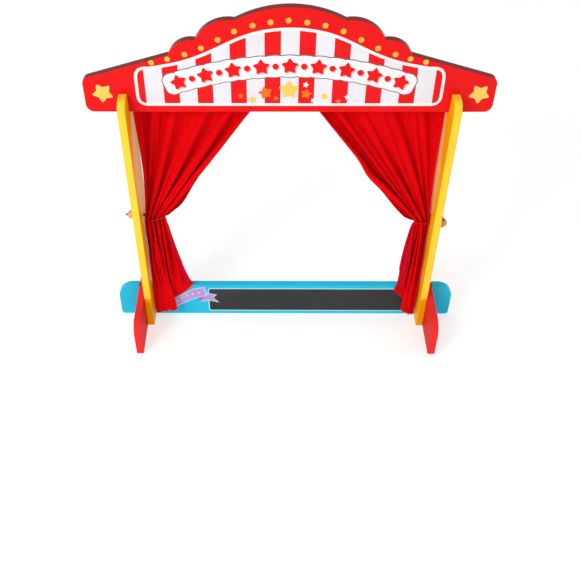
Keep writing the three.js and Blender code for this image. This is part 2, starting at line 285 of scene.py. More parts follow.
@dataclass(frozen=True)
class Lacquer:
    """Glossy paint, sprayed on a smooth board; where an edge colour is given, light and shade are
    painted on the faces picked as edges.
    """

    name: str
    colour: Colour
    edge: Colour | None = None  # colour of the faces picked as edges, with their light and shade painted in
    edges: Edge = Edge.UPPER
    # How squarely a face looks along the axis: between these the two colours blend
    edge_range: tuple[float, float] = (0.35, 0.8)
    foot: Colour | None = None  # painted shadow of the feet on the edge faces below the feet's top
    foot_height: float = 0.068
    foot_blend: float = 0.004
    roughness: float = 0.2
    gloss: float = 0.07
    coat: float = 0.04

    def material(self) -> bpy.types.Material:
        """Return the paint as a material.

        Returns:
            The finished material.
        """
        paint = Paint(self.name)
        place = paint.place()
        clouds = paint.noise(place, scale=9.0, detail=3.0)
        colour = paint.tinted(self.colour, clouds, 0.05)
        # The faces picked as edges carry the painted light and shade of the edge colour, and below
        # foot_height the painted shadow of the feet
        if self.edge is not None:
            facing = paint.facing().part(self.edges.value)
            if self.edges is Edge.UPPER:
                share = facing.step(*self.edge_range)
            else:
                share = 1 - abs(facing).step(*self.edge_range)
            edge = paint.tinted(self.edge, clouds, 0.05)
            if self.foot is not None:
                ends = self.foot_height - self.foot_blend, self.foot_height + self.foot_blend
                edge = paint.mixed(1 - place.part("Z").step(*ends), edge, self.foot)
            colour = paint.mixed(share, colour, edge)
        specks = paint.noise(place, scale=1400.0, detail=1.0).step(0.76, 0.82)
        colour = paint.mixed(specks * 0.35, colour, darker(self.colour, 0.6))
        peel = paint.noise(place, scale=520.0, detail=2.0)
        brushed = paint.noise(place, scale=60.0, detail=3.0)
        return paint.surface(
            {
                "Base Color": colour,
                "Roughness": self.roughness + (brushed - 0.5) * 0.12,
                "Specular IOR Level": self.gloss,
                "Coat Weight": self.coat,
                "Coat Roughness": 0.08,
                "Normal": paint.bump(peel, strength=0.25, distance=0.00006),
            }
        )


@dataclass(frozen=True)
class Ink:
    """Screen-printed ink, a little less glossy than the paint under it."""

    name: str
    colour: Colour
    roughness: float = 0.32

    def material(self) -> bpy.types.Material:
        """Return the ink as a material.

        Returns:
            The finished material.
        """
        paint = Paint(self.name)
        place = paint.place()
        clouds = paint.noise(place, scale=30.0, detail=3.0)
        mesh = paint.stretched(place, (4200.0, 1.0, 4200.0))
        screen = mesh.part("X").sine() * mesh.part("Z").sine()
        return paint.surface(
            {
                "Base Color": paint.tinted(self.colour, clouds, 0.035),
                "Roughness": self.roughness + (clouds - 0.5) * 0.1,
                "Specular IOR Level": 0.07,
                "Coat Weight": 0.03,
                "Coat Roughness": 0.15,
                "Normal": paint.bump(screen * 0.5 + 0.5, strength=0.15, distance=0.00003),
            }
        )


@dataclass(frozen=True)
class Slate:
    """Chalkboard paint, wiped clean, with a little chalk dust left in it."""

    name: str
    colour: Colour
    dust: Colour

    def material(self) -> bpy.types.Material:
        """Return the paint as a material.

        Returns:
            The finished material.
        """
        paint = Paint(self.name)
        place = paint.place()
        wiped = paint.noise(paint.stretched(place, (6.0, 1.0, 38.0)), scale=1.0, detail=4.0)
        tooth = paint.noise(place, scale=2600.0, detail=2.0)
        dusty = wiped.step(0.5, 0.8) * 0.1 + tooth.step(0.6, 0.75) * 0.06
        return paint.surface(
            {
                "Base Color": paint.mixed(dusty, self.colour, self.dust),
                "Roughness": 0.62 + (wiped - 0.5) * 0.2,
                "Specular IOR Level": 0.25,
                "Normal": paint.bump(tooth, strength=0.4, distance=0.00005),
            }
        )


@dataclass(frozen=True)
class Weave:
    """Plain-woven cloth with a soft face, seen thread by thread from close by."""

    name: str
    colour: Colour
    length: float  # of the flat cloth
    width: float
    pitch: float = 0.00042  # from thread to thread
    hem: float = 0.011  # how far the stitches lie from the lower edge
    side_hem: float = 0.0065
    stitch: float = 0.0014
    seam: tuple[float, float] = (0.0002, 0.0009)  # half its width, fully sunk and in all

    def material(self) -> bpy.types.Material:
        """Return the cloth as a material.

        Returns:
            The finished material.
        """
        paint = Paint(self.name)
        cut = paint.cut()
        across, along = cut.part("X"), cut.part("Y")
        turns = math.pi / self.pitch
        weave = (across * turns).sine() * (along * turns).sine() * 0.5 + 0.5
        threads = paint.noise(paint.stretched(cut, (900.0, 25.0, 1.0)), scale=1.0, detail=2.0)
        crosswise = paint.noise(paint.stretched(cut, (25.0, 900.0, 1.0)), scale=1.0, detail=2.0)
        creases = paint.noise(cut, scale=60.0, detail=3.0)
        slub = (threads + crosswise) * 0.5
        colour = paint.tinted(self.colour, slub * 0.7 + creases * 0.3, 0.16)
        dark = darker(self.colour, 0.55)
        # Painted shade in the low places between the threads
        colour = paint.mixed((1 - weave.step(0.0, 0.5)) * 0.25, colour, dark)
        from_hem = abs(along - (self.length - self.hem))
        from_side = abs(abs(across - self.width / 2) - (self.width / 2 - self.side_hem))
        nearest = paint.maths("MINIMUM", from_hem, from_side)
        seam = 1 - nearest.step(*self.seam)
        stitches = ((across + along) * (math.pi / self.stitch)).sine().step(-0.2, 0.2)
        colour = paint.mixed(seam * 0.45, colour, dark)
        height = weave * 0.35 + creases * 0.6 - seam * 0.5 + seam * stitches * 0.4
        return paint.surface(
            {
                "Base Color": colour,
                "Roughness": 0.78 + (creases - 0.5) * 0.15,
                "Sheen Weight": 0.06,
                "Sheen Roughness": 0.45,
                "Sheen Tint": (1.0, 0.1, 0.1, 1.0),
                "Specular IOR Level": 0.05,
                "Normal": paint.bump(height, strength=0.5, distance=0.00022),
            }
        )


@dataclass(frozen=True)
class Braid:
    """Elastic cord in a braided cover."""

    name: str
    colour: Colour
    pitch: float = 0.0012  # length of one turn of a strand
    strands: int = 4

    def material(self) -> bpy.types.Material:
        """Return the cord's cover as a material.

        Returns:
            The finished material.
        """
        paint = Paint(self.name)
        cut = paint.cut()
        around, along = cut.part("X"), cut.part("Y") * (2 * math.pi / self.pitch)
        wound = around * self.strands
        strands = (wound + along).sine() * (wound - along).sine() * 0.5 + 0.5
        fuzz = paint.noise(paint.place(), scale=900.0, detail=2.0)
        # Painted shade where the strands dip between one another
        strand_gap_shade = 1 - strands.step(0.1, 0.55)
        return paint.surface(
            {
                "Base Color": paint.mixed(strand_gap_shade * 0.6, self.colour, darker(self.colour, 0.45)),
                "Roughness": 0.7 + (fuzz - 0.5) * 0.2,
                "Sheen Weight": 0.03,
                "Specular IOR Level": 0.1,
                "Normal": paint.bump(strands, strength=0.6, distance=0.00015),
            }
        )


@dataclass(frozen=True)
class Timber:
    """Bare turned wood with its grain along X, lightly waxed."""

    name: str
    light: Colour
    dark: Colour

    def material(self) -> bpy.types.Material:
        """Return the wood as a material.

        Returns:
            The finished material.
        """
        paint = Paint(self.name)
        place = paint.place()
        drift = paint.noise(paint.stretched(place, (6.0, 60.0, 60.0)), scale=1.0, detail=2.0)
        rings = ((place.part("Y") + place.part("Z") * 0.6) * 3200.0 + drift * 14.0).sine()
        pores = paint.noise(paint.stretched(place, (120.0, 3200.0, 3200.0)), scale=1.0, detail=3.0)
        grain = rings * 0.25 + 0.5 + (pores - 0.5) * 0.5
        return paint.surface(
            {
                "Base Color": paint.mixed(grain.step(0.1, 0.95), self.light, self.dark),
                "Roughness": 0.42 + (pores - 0.5) * 0.25,
                "Coat Weight": 0.15,
                "Normal": paint.bump(pores, strength=0.35, distance=0.00008),
            }
        )


@dataclass(frozen=True)
class Zinc:
    """Bright zinc plating, slightly yellow, with fine turning marks."""

    name: str
    colour: Colour

    def material(self) -> bpy.types.Material:
        """Return the plating as a material.

        Returns:
            The finished material.
        """
        paint = Paint(self.name)
        place = paint.place()
        bloom = paint.noise(place, scale=700.0, detail=3.0)
        turned = (place.part("X") * 21000.0).sine() * 0.5 + 0.5
        return paint.surface(
            {
                "Base Color": paint.tinted(self.colour, bloom, 0.12),
                "Metallic": 1.0,
                "Roughness": 0.26 + bloom * 0.16,
                "Normal": paint.bump(turned * 0.5 + bloom * 0.5, strength=0.3, distance=0.00004),
            }
        )


class Coat(Enum):
    """The finishes of the stand."""

    # The sign's upward-facing edges are painted dark brown as painted shade
    SIGN = Lacquer("sign_red", srgb(232, 20, 22), edge=srgb(122, 44, 40))
    # The feet are lit and shaded copies of one red: the narrow faces carry painted light, the
    # broad faces a darker red as painted shade
    FOOT = Lacquer(
        "foot_red",
        srgb(214, 40, 32),
        edge=srgb(240, 50, 48),
        edges=Edge.NARROW,
        edge_range=(0.3, 0.9),
        roughness=0.35,
        gloss=0.01,
        coat=0.0,
    )
    # The uprights are lit and shaded copies of one yellow: the broad faces carry amber as painted
    # shade, the narrow faces a light yellow as painted light, and below the top of the feet the
    # narrow faces turn amber as the feet's painted shadow
    UPRIGHT = Lacquer(
        "upright_yellow",
        srgb(246, 172, 8),
        edge=srgb(250, 208, 62),
        edges=Edge.NARROW,
        edge_range=(0.3, 0.9),
        foot=srgb(240, 166, 10),
        gloss=0.015,
        coat=0.0,
    )
    RAIL = Lacquer("rail_blue", srgb(40, 192, 228))
    PANEL_BORDER = Ink("border_white", srgb(246, 238, 238))
    PANEL = Ink("panel_white", srgb(229, 227, 232))
    STRIPE = Ink("stripe_red", srgb(232, 24, 26))
    DOT = Ink("dot_amber", srgb(250, 184, 72))
    STAR = Ink("star_yellow", srgb(244, 204, 96))
    STAR_RIM = Ink("star_rim", srgb(250, 218, 118))
    STAR_ORANGE = Ink("star_orange", srgb(246, 112, 44))
    KEYLINE = Ink("keyline_grey", srgb(96, 96, 104))
    SHADOW = Ink("shadow_pink", srgb(244, 158, 156))
    RIBBON = Ink("ribbon_lilac", srgb(178, 156, 212))
    RIBBON_RIM = Ink("ribbon_rim", srgb(222, 214, 240))
    RIBBON_FOLD = Ink("ribbon_fold", srgb(146, 122, 186))
    BOARD_RIM = Ink("board_rim", srgb(176, 232, 246))
    BOARD = Slate("chalkboard", srgb(46, 45, 47), srgb(150, 150, 150))
    WOOD = Timber("beech", srgb(232, 190, 140), srgb(188, 134, 84))
    STEEL = Zinc("zinc_plate", srgb(196, 196, 190))
    ELASTIC = Braid("red_elastic", srgb(214, 22, 28))


@cache
def coat(choice: Coat) -> bpy.types.Material:
    """Return the material of a finish, made once."""
    return choice.value.material()


# Drawing


def catmull_rom(points: Sequence[Sequence[float]], steps: int) -> np.ndarray:
    """Draw a smooth open curve through points.

    Args:
        points: the points, in two or three dimensions.
        steps: pieces between each point and the next.

    Returns:
        The curve's points, one to a row.
    """
    given = np.asarray(points, float)
    padded = np.vstack([2 * given[0] - given[1], given, 2 * given[-1] - given[-2]])
    rows = []
    for i in range(len(given) - 1):
        a, b, c, d = padded[i : i + 4]
        bend = 2 * a - 5 * b + 4 * c - d
        twist = 3 * b - a - 3 * c + d
        for t in np.linspace(0, 1, steps, endpoint=False):
            rows.append((2 * b + (c - a) * t + bend * t**2 + twist * t**3) / 2)
    rows.append(given[-1])
    return np.array(rows)


def run_along(points: np.ndarray) -> np.ndarray:
    """Return how far along its line each of a row of points lies."""
    return np.concatenate([[0], np.cumsum(np.linalg.norm(np.diff(points, axis=0), axis=1))])


def spaced(points: np.ndarray, count: int) -> np.ndarray:
    """Return points at even steps along a line.

    Args:
        points: the line's points.
        count: number of points that are wanted.

    Returns:
        The points at even steps.
    """
    run = run_along(points)
    at = np.linspace(0, run[-1], count)
    return np.stack([np.interp(at, run, points[:, i]) for i in range(points.shape[1])], axis=1)


def ease_rows(points: np.ndarray, passes: int) -> None:
    """Draw each row of points towards its neighbours, with the first and last row held.

    Args:
        points: the points, which are changed.
        passes: how often it is done.
    """
    for _ in range(passes):
        points[1:-1] = (points[:-2] + 2 * points[1:-1] + points[2:]) / 4


def rounded(corners: Sequence[Point3], steps: int = 8) -> Outline:
    """Draw a polygon with rounded corners.

    Args:
        corners: X, Z and radius of each corner, counter-clockwise.
        steps: pieces in each round.

    Returns:
        The outline.
    """
    outline: Outline = []
    for i, (x, z, radius) in enumerate(corners):
        here = np.array([x, z])
        if radius <= 0:
            outline.append((x, z))
            continue
        back = np.array(corners[i - 1][:2]) - here
        ahead = np.array(corners[(i + 1) % len(corners)][:2]) - here
        back, ahead = back / np.linalg.norm(back), ahead / np.linalg.norm(ahead)
        half = math.acos(float(np.clip(back @ ahead, -1, 1))) / 2
        reach = radius / math.tan(half)
        start, end = here + back * reach, here + ahead * reach
        for t in np.linspace(0, 1, steps + 1):
            bend = (1 - t) ** 2 * start + 2 * t * (1 - t) * here + t**2 * end
            outline.append((float(bend[0]), float(bend[1])))
    return outline


def rounded_box(
    left: float, low: float, right: float, high: float, radius: float, steps: int = 8
) -> Outline:
    """Draw an upright rectangle with rounded corners.

    Args:
        left: least X.
        low: least Z.
        right: greatest X.
        high: greatest Z.
        radius: radius of its corners.
        steps: pieces in each round.

    Returns:
        The outline.
    """
    corners = ((left, low), (right, low), (right, high), (left, high))
    return rounded([(x, z, radius) for x, z in corners], steps)


def star(x: float, z: float, radius: float, turn: float) -> Outline:
    """Draw a five-pointed star with blunt tips.

    Args:
        x: its middle.
        z: its middle.
        radius: from its middle to its tips.
        turn: angle of its first tip from straight up, clockwise, in degrees.

    Returns:
        The outline.
    """
    # Reach and roundness of the tips, then of the notches, as shares of the radius
    forms = ((1.0, 0.14), (0.56, 0.08))
    corners = []
    for i in range(10):
        angle = math.radians(90 - turn + 36 * i)
        reach, blunt = (radius * share for share in forms[i % 2])
        corners.append((x + reach * math.cos(angle), z + reach * math.sin(angle), blunt))
    return rounded(corners, steps=4)


def disc(x: float, z: float, radius: float, sides: int = 40) -> Outline:
    """Draw a disc.

    Args:
        x: its middle.
        z: its middle.
        radius: its radius.
        sides: number of its sides.

    Returns:
        The outline.
    """
    angles = np.linspace(0, 2 * math.pi, sides, endpoint=False)
    return [(x + radius * math.cos(a), z + radius * math.sin(a)) for a in angles]


def inset(outline: Sequence[Point2], distance: float) -> Outline:
    """Move an outline's sides inwards.

    Args:
        outline: a counter-clockwise outline.
        distance: how far its sides move.

    Returns:
        The smaller outline.
    """
    no_length = 1e-9
    sharpest = 0.3  # keeps sharp corners from moving far
    points = np.array(outline)
    ahead = np.roll(points, -1, axis=0) - points
    ahead /= np.maximum(np.linalg.norm(ahead, axis=1, keepdims=True), no_length)
    inwards = np.stack([-ahead[:, 1], ahead[:, 0]], axis=1)
    both = inwards + np.roll(inwards, 1, axis=0)
    both /= np.maximum((both**2).sum(axis=1, keepdims=True) / 2, sharpest)
    return [tuple(p) for p in points + both * distance]


def between(outline: Outline, low: float, high: float) -> Outline:
    """Cut an outline to a range of X.

    Args:
        outline: the outline.
        low: least X.
        high: greatest X.

    Returns:
        What is left of the outline.
    """
    for limit, sign in ((low, 1), (high, -1)):
        kept: Outline = []
        for i, here in enumerate(outline):
            before = outline[i - 1]
            inside, was_inside = (sign * (p[0] - limit) >= 0 for p in (here, before))
            if inside != was_inside:
                t = (limit - before[0]) / (here[0] - before[0])
                kept.append((limit, before[1] + t * (here[1] - before[1])))
            if inside:
                kept.append(here)
        outline = kept
    return outline


# Making meshes


def new_object(name: str, mesh: bpy.types.Mesh, *finishes: bpy.types.Material) -> bpy.types.Object:
    """Put a mesh in the scene.

    Args:
        name: the object's name.
        mesh: its mesh.
        finishes: its materials.

    Returns:
        The object.
    """
    made = bpy.data.objects.new(name, mesh)
    bpy.context.scene.collection.objects.link(made)
    for finish in finishes:
        mesh.materials.append(finish)
    return made


@dataclass(frozen=True)
class Print:
    """Shapes printed in one ink on the front face of a board."""

    name: str
    outlines: Sequence[Sequence[Point2]]  # in millimetres
    layer: int  # 1 for ink on the board, 2 for ink on that, and so on
    ink: Coat
    thickness: float = 0.00007  # of each layer
    sunk: float = 0.00002  # how far it reaches into the board
    least_side: float = 1e-4  # points closer than this, in millimetres, count as one

    def piece(self, face: float) -> bpy.types.Object:
        """Return the print as a thin piece.

        Args:
            face: Y of the board's front face.

        Returns:
            The piece.
        """
        shape = bmesh.new()
        for outline in self.outlines:
            points = [
                here for i, here in enumerate(outline)
                if math.dist(here, outline[i - 1]) > self.least_side
            ]
            front, back = (
                [shape.verts.new((x * MM, y, z * MM)) for x, z in points]
                for y in (face - self.thickness * self.layer, face + self.sunk)
            )
            shape.faces.new(front)
            shape.faces.new(back[::-1])
            for i in range(len(points)):
                shape.faces.new((front[i - 1], back[i - 1], back[i], front[i]))
        bmesh.ops.recalc_face_normals(shape, faces=shape.faces)
        wide = [side for side in shape.faces if len(side.verts) > 4]
        bmesh.ops.triangulate(shape, faces=wide, ngon_method="EAR_CLIP")
        mesh = bpy.data.meshes.new(self.name)
        shape.to_mesh(mesh)
        shape.free()
        return new_object(self.name, mesh, coat(self.ink))


def print_on(body: str, face: float, prints: Sequence[Print]) -> None:
    """Print on a board, so that the prints move with it.

    Args:
        body: the board's moving body.
        face: Y of its front face.
        prints: what is printed, in order.
    """
    for each in prints:
        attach(each.piece(face), body)
        log.info("printed %s", each.name)


def tube(
    name: str, line: np.ndarray, radius: float, finish: Coat, sides: int = 12
) -> bpy.types.Object:
    """Sweep a round section along a line.

    Args:
        name: the piece's name.
        line: the line's points in metres, one to a row.
        radius: the section's radius.
        finish: its finish.
        sides: number of the section's sides.

    Returns:
        The piece, whose mesh keeps how far round and along each point lies.
    """
    off_line = [0.0, 0.3, 1.0]  # no line starts out this way
    ahead = np.gradient(line, axis=0)
    ahead /= np.linalg.norm(ahead, axis=1, keepdims=True)
    side = np.cross(ahead[0], off_line)
    run = run_along(line)
    angles = np.linspace(0, 2 * math.pi, sides, endpoint=False)
    points, cut = [], []
    for i, centre in enumerate(line):
        side = side - ahead[i] * (side @ ahead[i])
        side /= np.linalg.norm(side)
        up = np.cross(ahead[i], side)
        for angle in angles:
            points.append(centre + radius * (math.cos(angle) * side + math.sin(angle) * up))
            cut.append((angle, run[i], 0.0))
    last = (len(line) - 1) * sides
    faces = []
    for ring in range(0, last, sides):
        for j in range(sides):
            here, beside = ring + j, ring + (j + 1) % sides
            faces.append((here, beside, beside + sides, here + sides))
    faces.append(tuple(range(sides))[::-1])
    faces.append(tuple(range(last, last + sides)))
    mesh = bpy.data.meshes.new(name)
    mesh.from_pydata([tuple(p) for p in points], [], faces)
    mark_cut(mesh, np.array(cut))
    mesh.polygons.foreach_set("use_smooth", [True] * len(mesh.polygons))
    return new_object(name, mesh, coat(finish))


def mark_cut(mesh: bpy.types.Mesh, places: np.ndarray) -> None:
    """Keep where each point of a mesh lay in the flat material.

    Args:
        mesh: the mesh.
        places: three numbers for each of its points.
    """
    kept = mesh.attributes.new("cut", "FLOAT_VECTOR", "POINT")
    kept.data.foreach_set("vector", places.astype(np.float32).ravel())


class Board:
    """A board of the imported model, with its sharp edges eased and its finish on."""

    easing = 0.0009  # width of the rounded edge
    flat_within = math.radians(0.4)
    sharp_from = math.radians(40)
    smooth_below = math.radians(35)
    joined_within = 1e-5

    def __init__(self, node: str, finish: Coat, eased: bool = True) -> None:
        """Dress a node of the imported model.

        Args:
            node: the node's name.
            finish: its finish.
            eased: whether its sharp edges are rounded over.
        """
        self.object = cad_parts[node]
        for place in self.object.material_slots:
            place.material = coat(finish)
        self._join_faces()
        if eased:
            self._ease_edges()
        log.info("dressed %s", node)

    def _join_faces(self) -> None:
        """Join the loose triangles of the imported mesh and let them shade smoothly."""
        modifier = self.object.modifiers.new("joined", "NODES")
        modifier.node_group = self._joining()

    def _ease_edges(self) -> None:
        """Round the edges over, as they are sanded before painting."""
        flat = self.object.modifiers.new("whole_faces", "DECIMATE")
        flat.decimate_type = "DISSOLVE"
        flat.angle_limit = self.flat_within
        edge = self.object.modifiers.new("eased_edges", "BEVEL")
        edge.width = self.easing
        edge.segments = 3
        edge.limit_method = "ANGLE"
        edge.angle_limit = self.sharp_from
        edge.use_clamp_overlap = False
        shade = self.object.modifiers.new("even_shading", "WEIGHTED_NORMAL")
        shade.weight = 90

    def _joining(self) -> bpy.types.GeometryNodeTree:
        """Return the node group that joins triangles and shades them smoothly.

        Returns:
            The node group, which all boards share.
        """
        name = "join_and_smooth"
        if name in bpy.data.node_groups:
            return bpy.data.node_groups[name]
        group = bpy.data.node_groups.new(name, "GeometryNodeTree")
        for way in ("INPUT", "OUTPUT"):
            group.interface.new_socket("Geometry", in_out=way, socket_type="NodeSocketGeometry")
        kinds = (
            "NodeGroupInput",
            "GeometryNodeRemoveAttribute",
            "GeometryNodeMergeByDistance",
            "GeometryNodeSetShadeSmooth",
            "GeometryNodeSetShadeSmooth",
            "NodeGroupOutput",
        )
        chain = [group.nodes.new(kind) for kind in kinds]
        for before, after in zip(chain, chain[1:]):
            group.links.new(before.outputs[0], after.inputs[0])
        _, bare, merge, faces, edges, _ = chain
        bare.inputs["Name"].default_value = "custom_normal"
        merge.inputs["Distance"].default_value = self.joined_within
        faces.domain = "FACE"
        edges.domain = "EDGE"
        angle = group.nodes.new("GeometryNodeInputMeshEdgeAngle")
        shallow = group.nodes.new("FunctionNodeCompare")
        shallow.operation = "LESS_THAN"
        shallow.inputs[1].default_value = self.smooth_below
        group.links.new(angle.outputs[0], shallow.inputs[0])
        group.links.new(shallow.outputs[0], edges.inputs["Shade Smooth"])
        return group


# The header board and what is printed on it


@dataclass
class Sign:
    """The header board: a striped panel under an arch of dots, with a star at each end."""

    face: float = -0.006
    # Upper edge of the panel from the middle outwards, in millimetres
    panel_top: Points = (
        (0.0, 561.7), (11.0, 561.4), (22.5, 560.5), (39.0, 557.9), (55.6, 553.8),
        (72.3, 547.6), (89.3, 539.8), (106.4, 531.3), (123.7, 523.1), (141.0, 516.3),
        (158.0, 510.9), (175.5, 506.9), (193.0, 503.8), (201.0, 502.5),
    )
    panel_half: float = 224.3
    panel_bottom: float = 439.0
    panel_radii: tuple[float, float] = (17.0, 19.0)  # lower and upper corners
    panel_rise: float = 0.7  # of the upper corner over the end of the upper edge
    border: float = 4.4
    stripe_pitch: float = 49.1
    stripe_width: float = 23.0
    stripe_ends: float = 210.0  # where the two outer stripes begin
    dot_radius: float = 4.0
    dots: Points = (
        (-197.5, 508.5), (-174.1, 514.2), (-149.1, 521.3), (-125.3, 530.8), (-101.4, 543.4),
        (-78.0, 556.0), (-52.3, 564.6), (-27.7, 569.2), (-3.0, 571.9), (22.7, 569.0),
        (47.9, 564.6), (73.1, 556.1), (98.6, 543.5), (123.1, 530.8), (148.6, 521.6),
        (170.5, 514.7), (193.1, 510.0),
    )
    # X, Z and turn of each end's star
    end_stars: tuple[Point3, ...] = ((-273.1, 460.1, 187.0), (277.8, 459.1, 182.0))
    end_star_radius: float = 17.0
    end_star_rim: float = 2.2
    # X, Z, radius, turn and ink of each small star
    small_stars: tuple[tuple[float, float, float, float, Coat], ...] = (
        (-0.3, 465.3, 16.8, 0.0, Coat.STAR),
        (51.8, 455.1, 6.6, 10.0, Coat.STAR),
        (-53.7, 449.2, 6.8, -12.0, Coat.STAR),
        (-35.0, 460.6, 11.5, -14.0, Coat.STAR_ORANGE),
        (-70.8, 455.6, 4.8, 8.0, Coat.STAR_ORANGE),
        (-19.8, 451.9, 4.2, 20.0, Coat.STAR_ORANGE),
        (24.6, 459.1, 9.0, 12.0, Coat.STAR_ORANGE),
        (72.1, 446.6, 4.8, -8.0, Coat.STAR_ORANGE),
        (23.7, 473.9, 5.0, 14.0, Coat.PANEL_BORDER),
        (35.6, 448.2, 4.6, 24.0, Coat.PANEL_BORDER),
        (84.8, 453.6, 4.4, -6.0, Coat.PANEL_BORDER),
    )
    # The blank plaque: an arched band whose middle line is part of a circle
    plaque_radius: float = 520.0
    plaque_middle: float = 503.5
    plaque_half: float = 186.0
    plaque_height: float = 33.0
    plaque_corner: float = 11.0
    plaque_scallops: int = 17
    plaque_scallop: float = 1.6
    plaque_points: int = 600
    keyline: float = 1.3
    motifs: int = 17
    motif_pitch: float = 20.4
    motif_star: float = 13.6
    motif_disc: float = 4.6
    shadow: tuple[float, float] = (1.5, -1.7)

    def build(self) -> None:
        """Dress the board and print on it."""
        Board("header_board", Coat.SIGN)
        outer = self._panel()
        inner = inset(outer, self.border)
        dots = [disc(x, z, self.dot_radius) for x, z in self.dots]
        rims, stars = (
            [star(x, z, self.end_star_radius - less, turn) for x, z, turn in self.end_stars]
            for less in (0.0, self.end_star_rim)
        )
        prints = [
            Print("sign_border", [outer], 1, Coat.PANEL_BORDER),
            Print("sign_panel", [inner], 2, Coat.PANEL),
            Print("sign_stripes", self._stripes(inner), 3, Coat.STRIPE),
            Print("sign_dots", dots, 1, Coat.DOT),
            Print("sign_end_star_rims", rims, 1, Coat.STAR_RIM),
            Print("sign_end_stars", stars, 2, Coat.STAR),
            *self._small_stars(),
            *self._plaque(),
        ]
        print_on("header", self.face, prints)

    def _panel(self) -> Outline:
        """Return the outline of the white panel.

        Returns:
            Its points in millimetres.
        """
        half, bottom = self.panel_half, self.panel_bottom
        low, high = self.panel_radii
        top = [(float(x), float(z)) for x, z in catmull_rom(self.panel_top, steps=6)[::-1]]
        upper_corner = (half, top[0][1] + self.panel_rise, high)
        corners = [(0.0, bottom, 0.0), (half, bottom, low), upper_corner, (*top[0], 0.0)]
        right = [*rounded(corners), *top[1:]]
        return [*right, *[(-x, z) for x, z in right[-2:0:-1]]]

    def _stripes(self, panel: Outline) -> list[Outline]:
        """Return the stripes inside the panel.

        Args:
            panel: outline that they are cut to.

        Returns:
            One outline for each stripe.
        """
        half = self.stripe_width / 2
        middles = [(i + 0.5) * self.stripe_pitch for i in range(-4, 4)]
        spans = [(middle - half, middle + half) for middle in middles]
        spans += [(-self.panel_half, -self.stripe_ends), (self.stripe_ends, self.panel_half)]
        return [between(panel, low, high) for low, high in spans]

    def _small_stars(self) -> list[Print]:
        """Return the small stars under the plaque, one print for each ink.

        Returns:
            The prints.
        """
        return [
            Print(
                f"sign_small_stars_{ink.value.name}",
                [star(x, z, r, turn) for x, z, r, turn, used in self.small_stars if used is ink],
                4,
                ink,
            )
            for ink in (Coat.STAR, Coat.STAR_ORANGE, Coat.PANEL_BORDER)
        ]

    def _plaque(self) -> list[Print]:
        """Return the blank plaque and its row of stars and discs, with their shadows.

        Returns:
            The prints, from the lowest layer up.
        """
        return [
            Print("sign_plaque_keyline", [self._band(0.0)], 5, Coat.KEYLINE),
            Print("sign_plaque", [self._band(self.keyline)], 6, Coat.PANEL_BORDER),
            Print("sign_plaque_shadows", self._motifs(self.shadow), 7, Coat.SHADOW),
            Print("sign_plaque_stars", self._motifs((0.0, 0.0)), 8, Coat.STRIPE),
        ]

    def _motifs(self, moved: Point2) -> list[Outline]:
        """Return the plaque's row of stars and discs by turns.

        Args:
            moved: offset in X and Z.

        Returns:
            Their outlines.
        """
        outlines = []
        for i in range(self.motifs):
            along = (i - (self.motifs - 1) / 2) * self.motif_pitch
            x, z = self._on_band(along, 0.0)
            x, z = x + moved[0], z + moved[1]
            if i % 2 == 0:
                turn = math.degrees(along / self.plaque_radius)
                outlines.append(star(x, z, self.motif_star, turn))
            else:
                outlines.append(disc(x, z, self.motif_disc, sides=24))
        return outlines

    def _on_band(self, along: float, up: float) -> Point2:
        """Return a place on the arched band.

        Args:
            along: distance from the middle along the arch.
            up: distance above the middle line.

        Returns:
            X and Z of the place.
        """
        angle = along / self.plaque_radius
        reach = self.plaque_radius + up
        centre = self.plaque_middle - self.plaque_radius
        return reach * math.sin(angle), centre + reach * math.cos(angle)

    def _band(self, less: float) -> Outline:
        """Return the outline of the plaque, with scalloped long sides.

        Args:
            less: how far the outline lies inside the plaque's edge.

        Returns:
            Its points in millimetres.
        """
        half, height = self.plaque_half - less, self.plaque_height / 2 - less
        corner = self.plaque_corner - less
        flat = rounded_box(-half, -height, half, height, corner, steps=6)
        side_from = height - 0.5  # points above this lie on a long side
        outline = []
        for along, up in spaced(np.array([*flat, flat[0]]), self.plaque_points)[:-1]:
            inside = np.clip((half - abs(along)) / self.plaque_corner, 0, 1)
            turns = self.plaque_scallops * (along / (2 * self.plaque_half) + 0.5)
            swell = self.plaque_scallop * math.sqrt(abs(math.sin(math.pi * turns))) * inside
            outline.append(
                self._on_band(along, up + math.copysign(swell, up) * (abs(up) > side_from))
            )
        return outline


# The stage rail


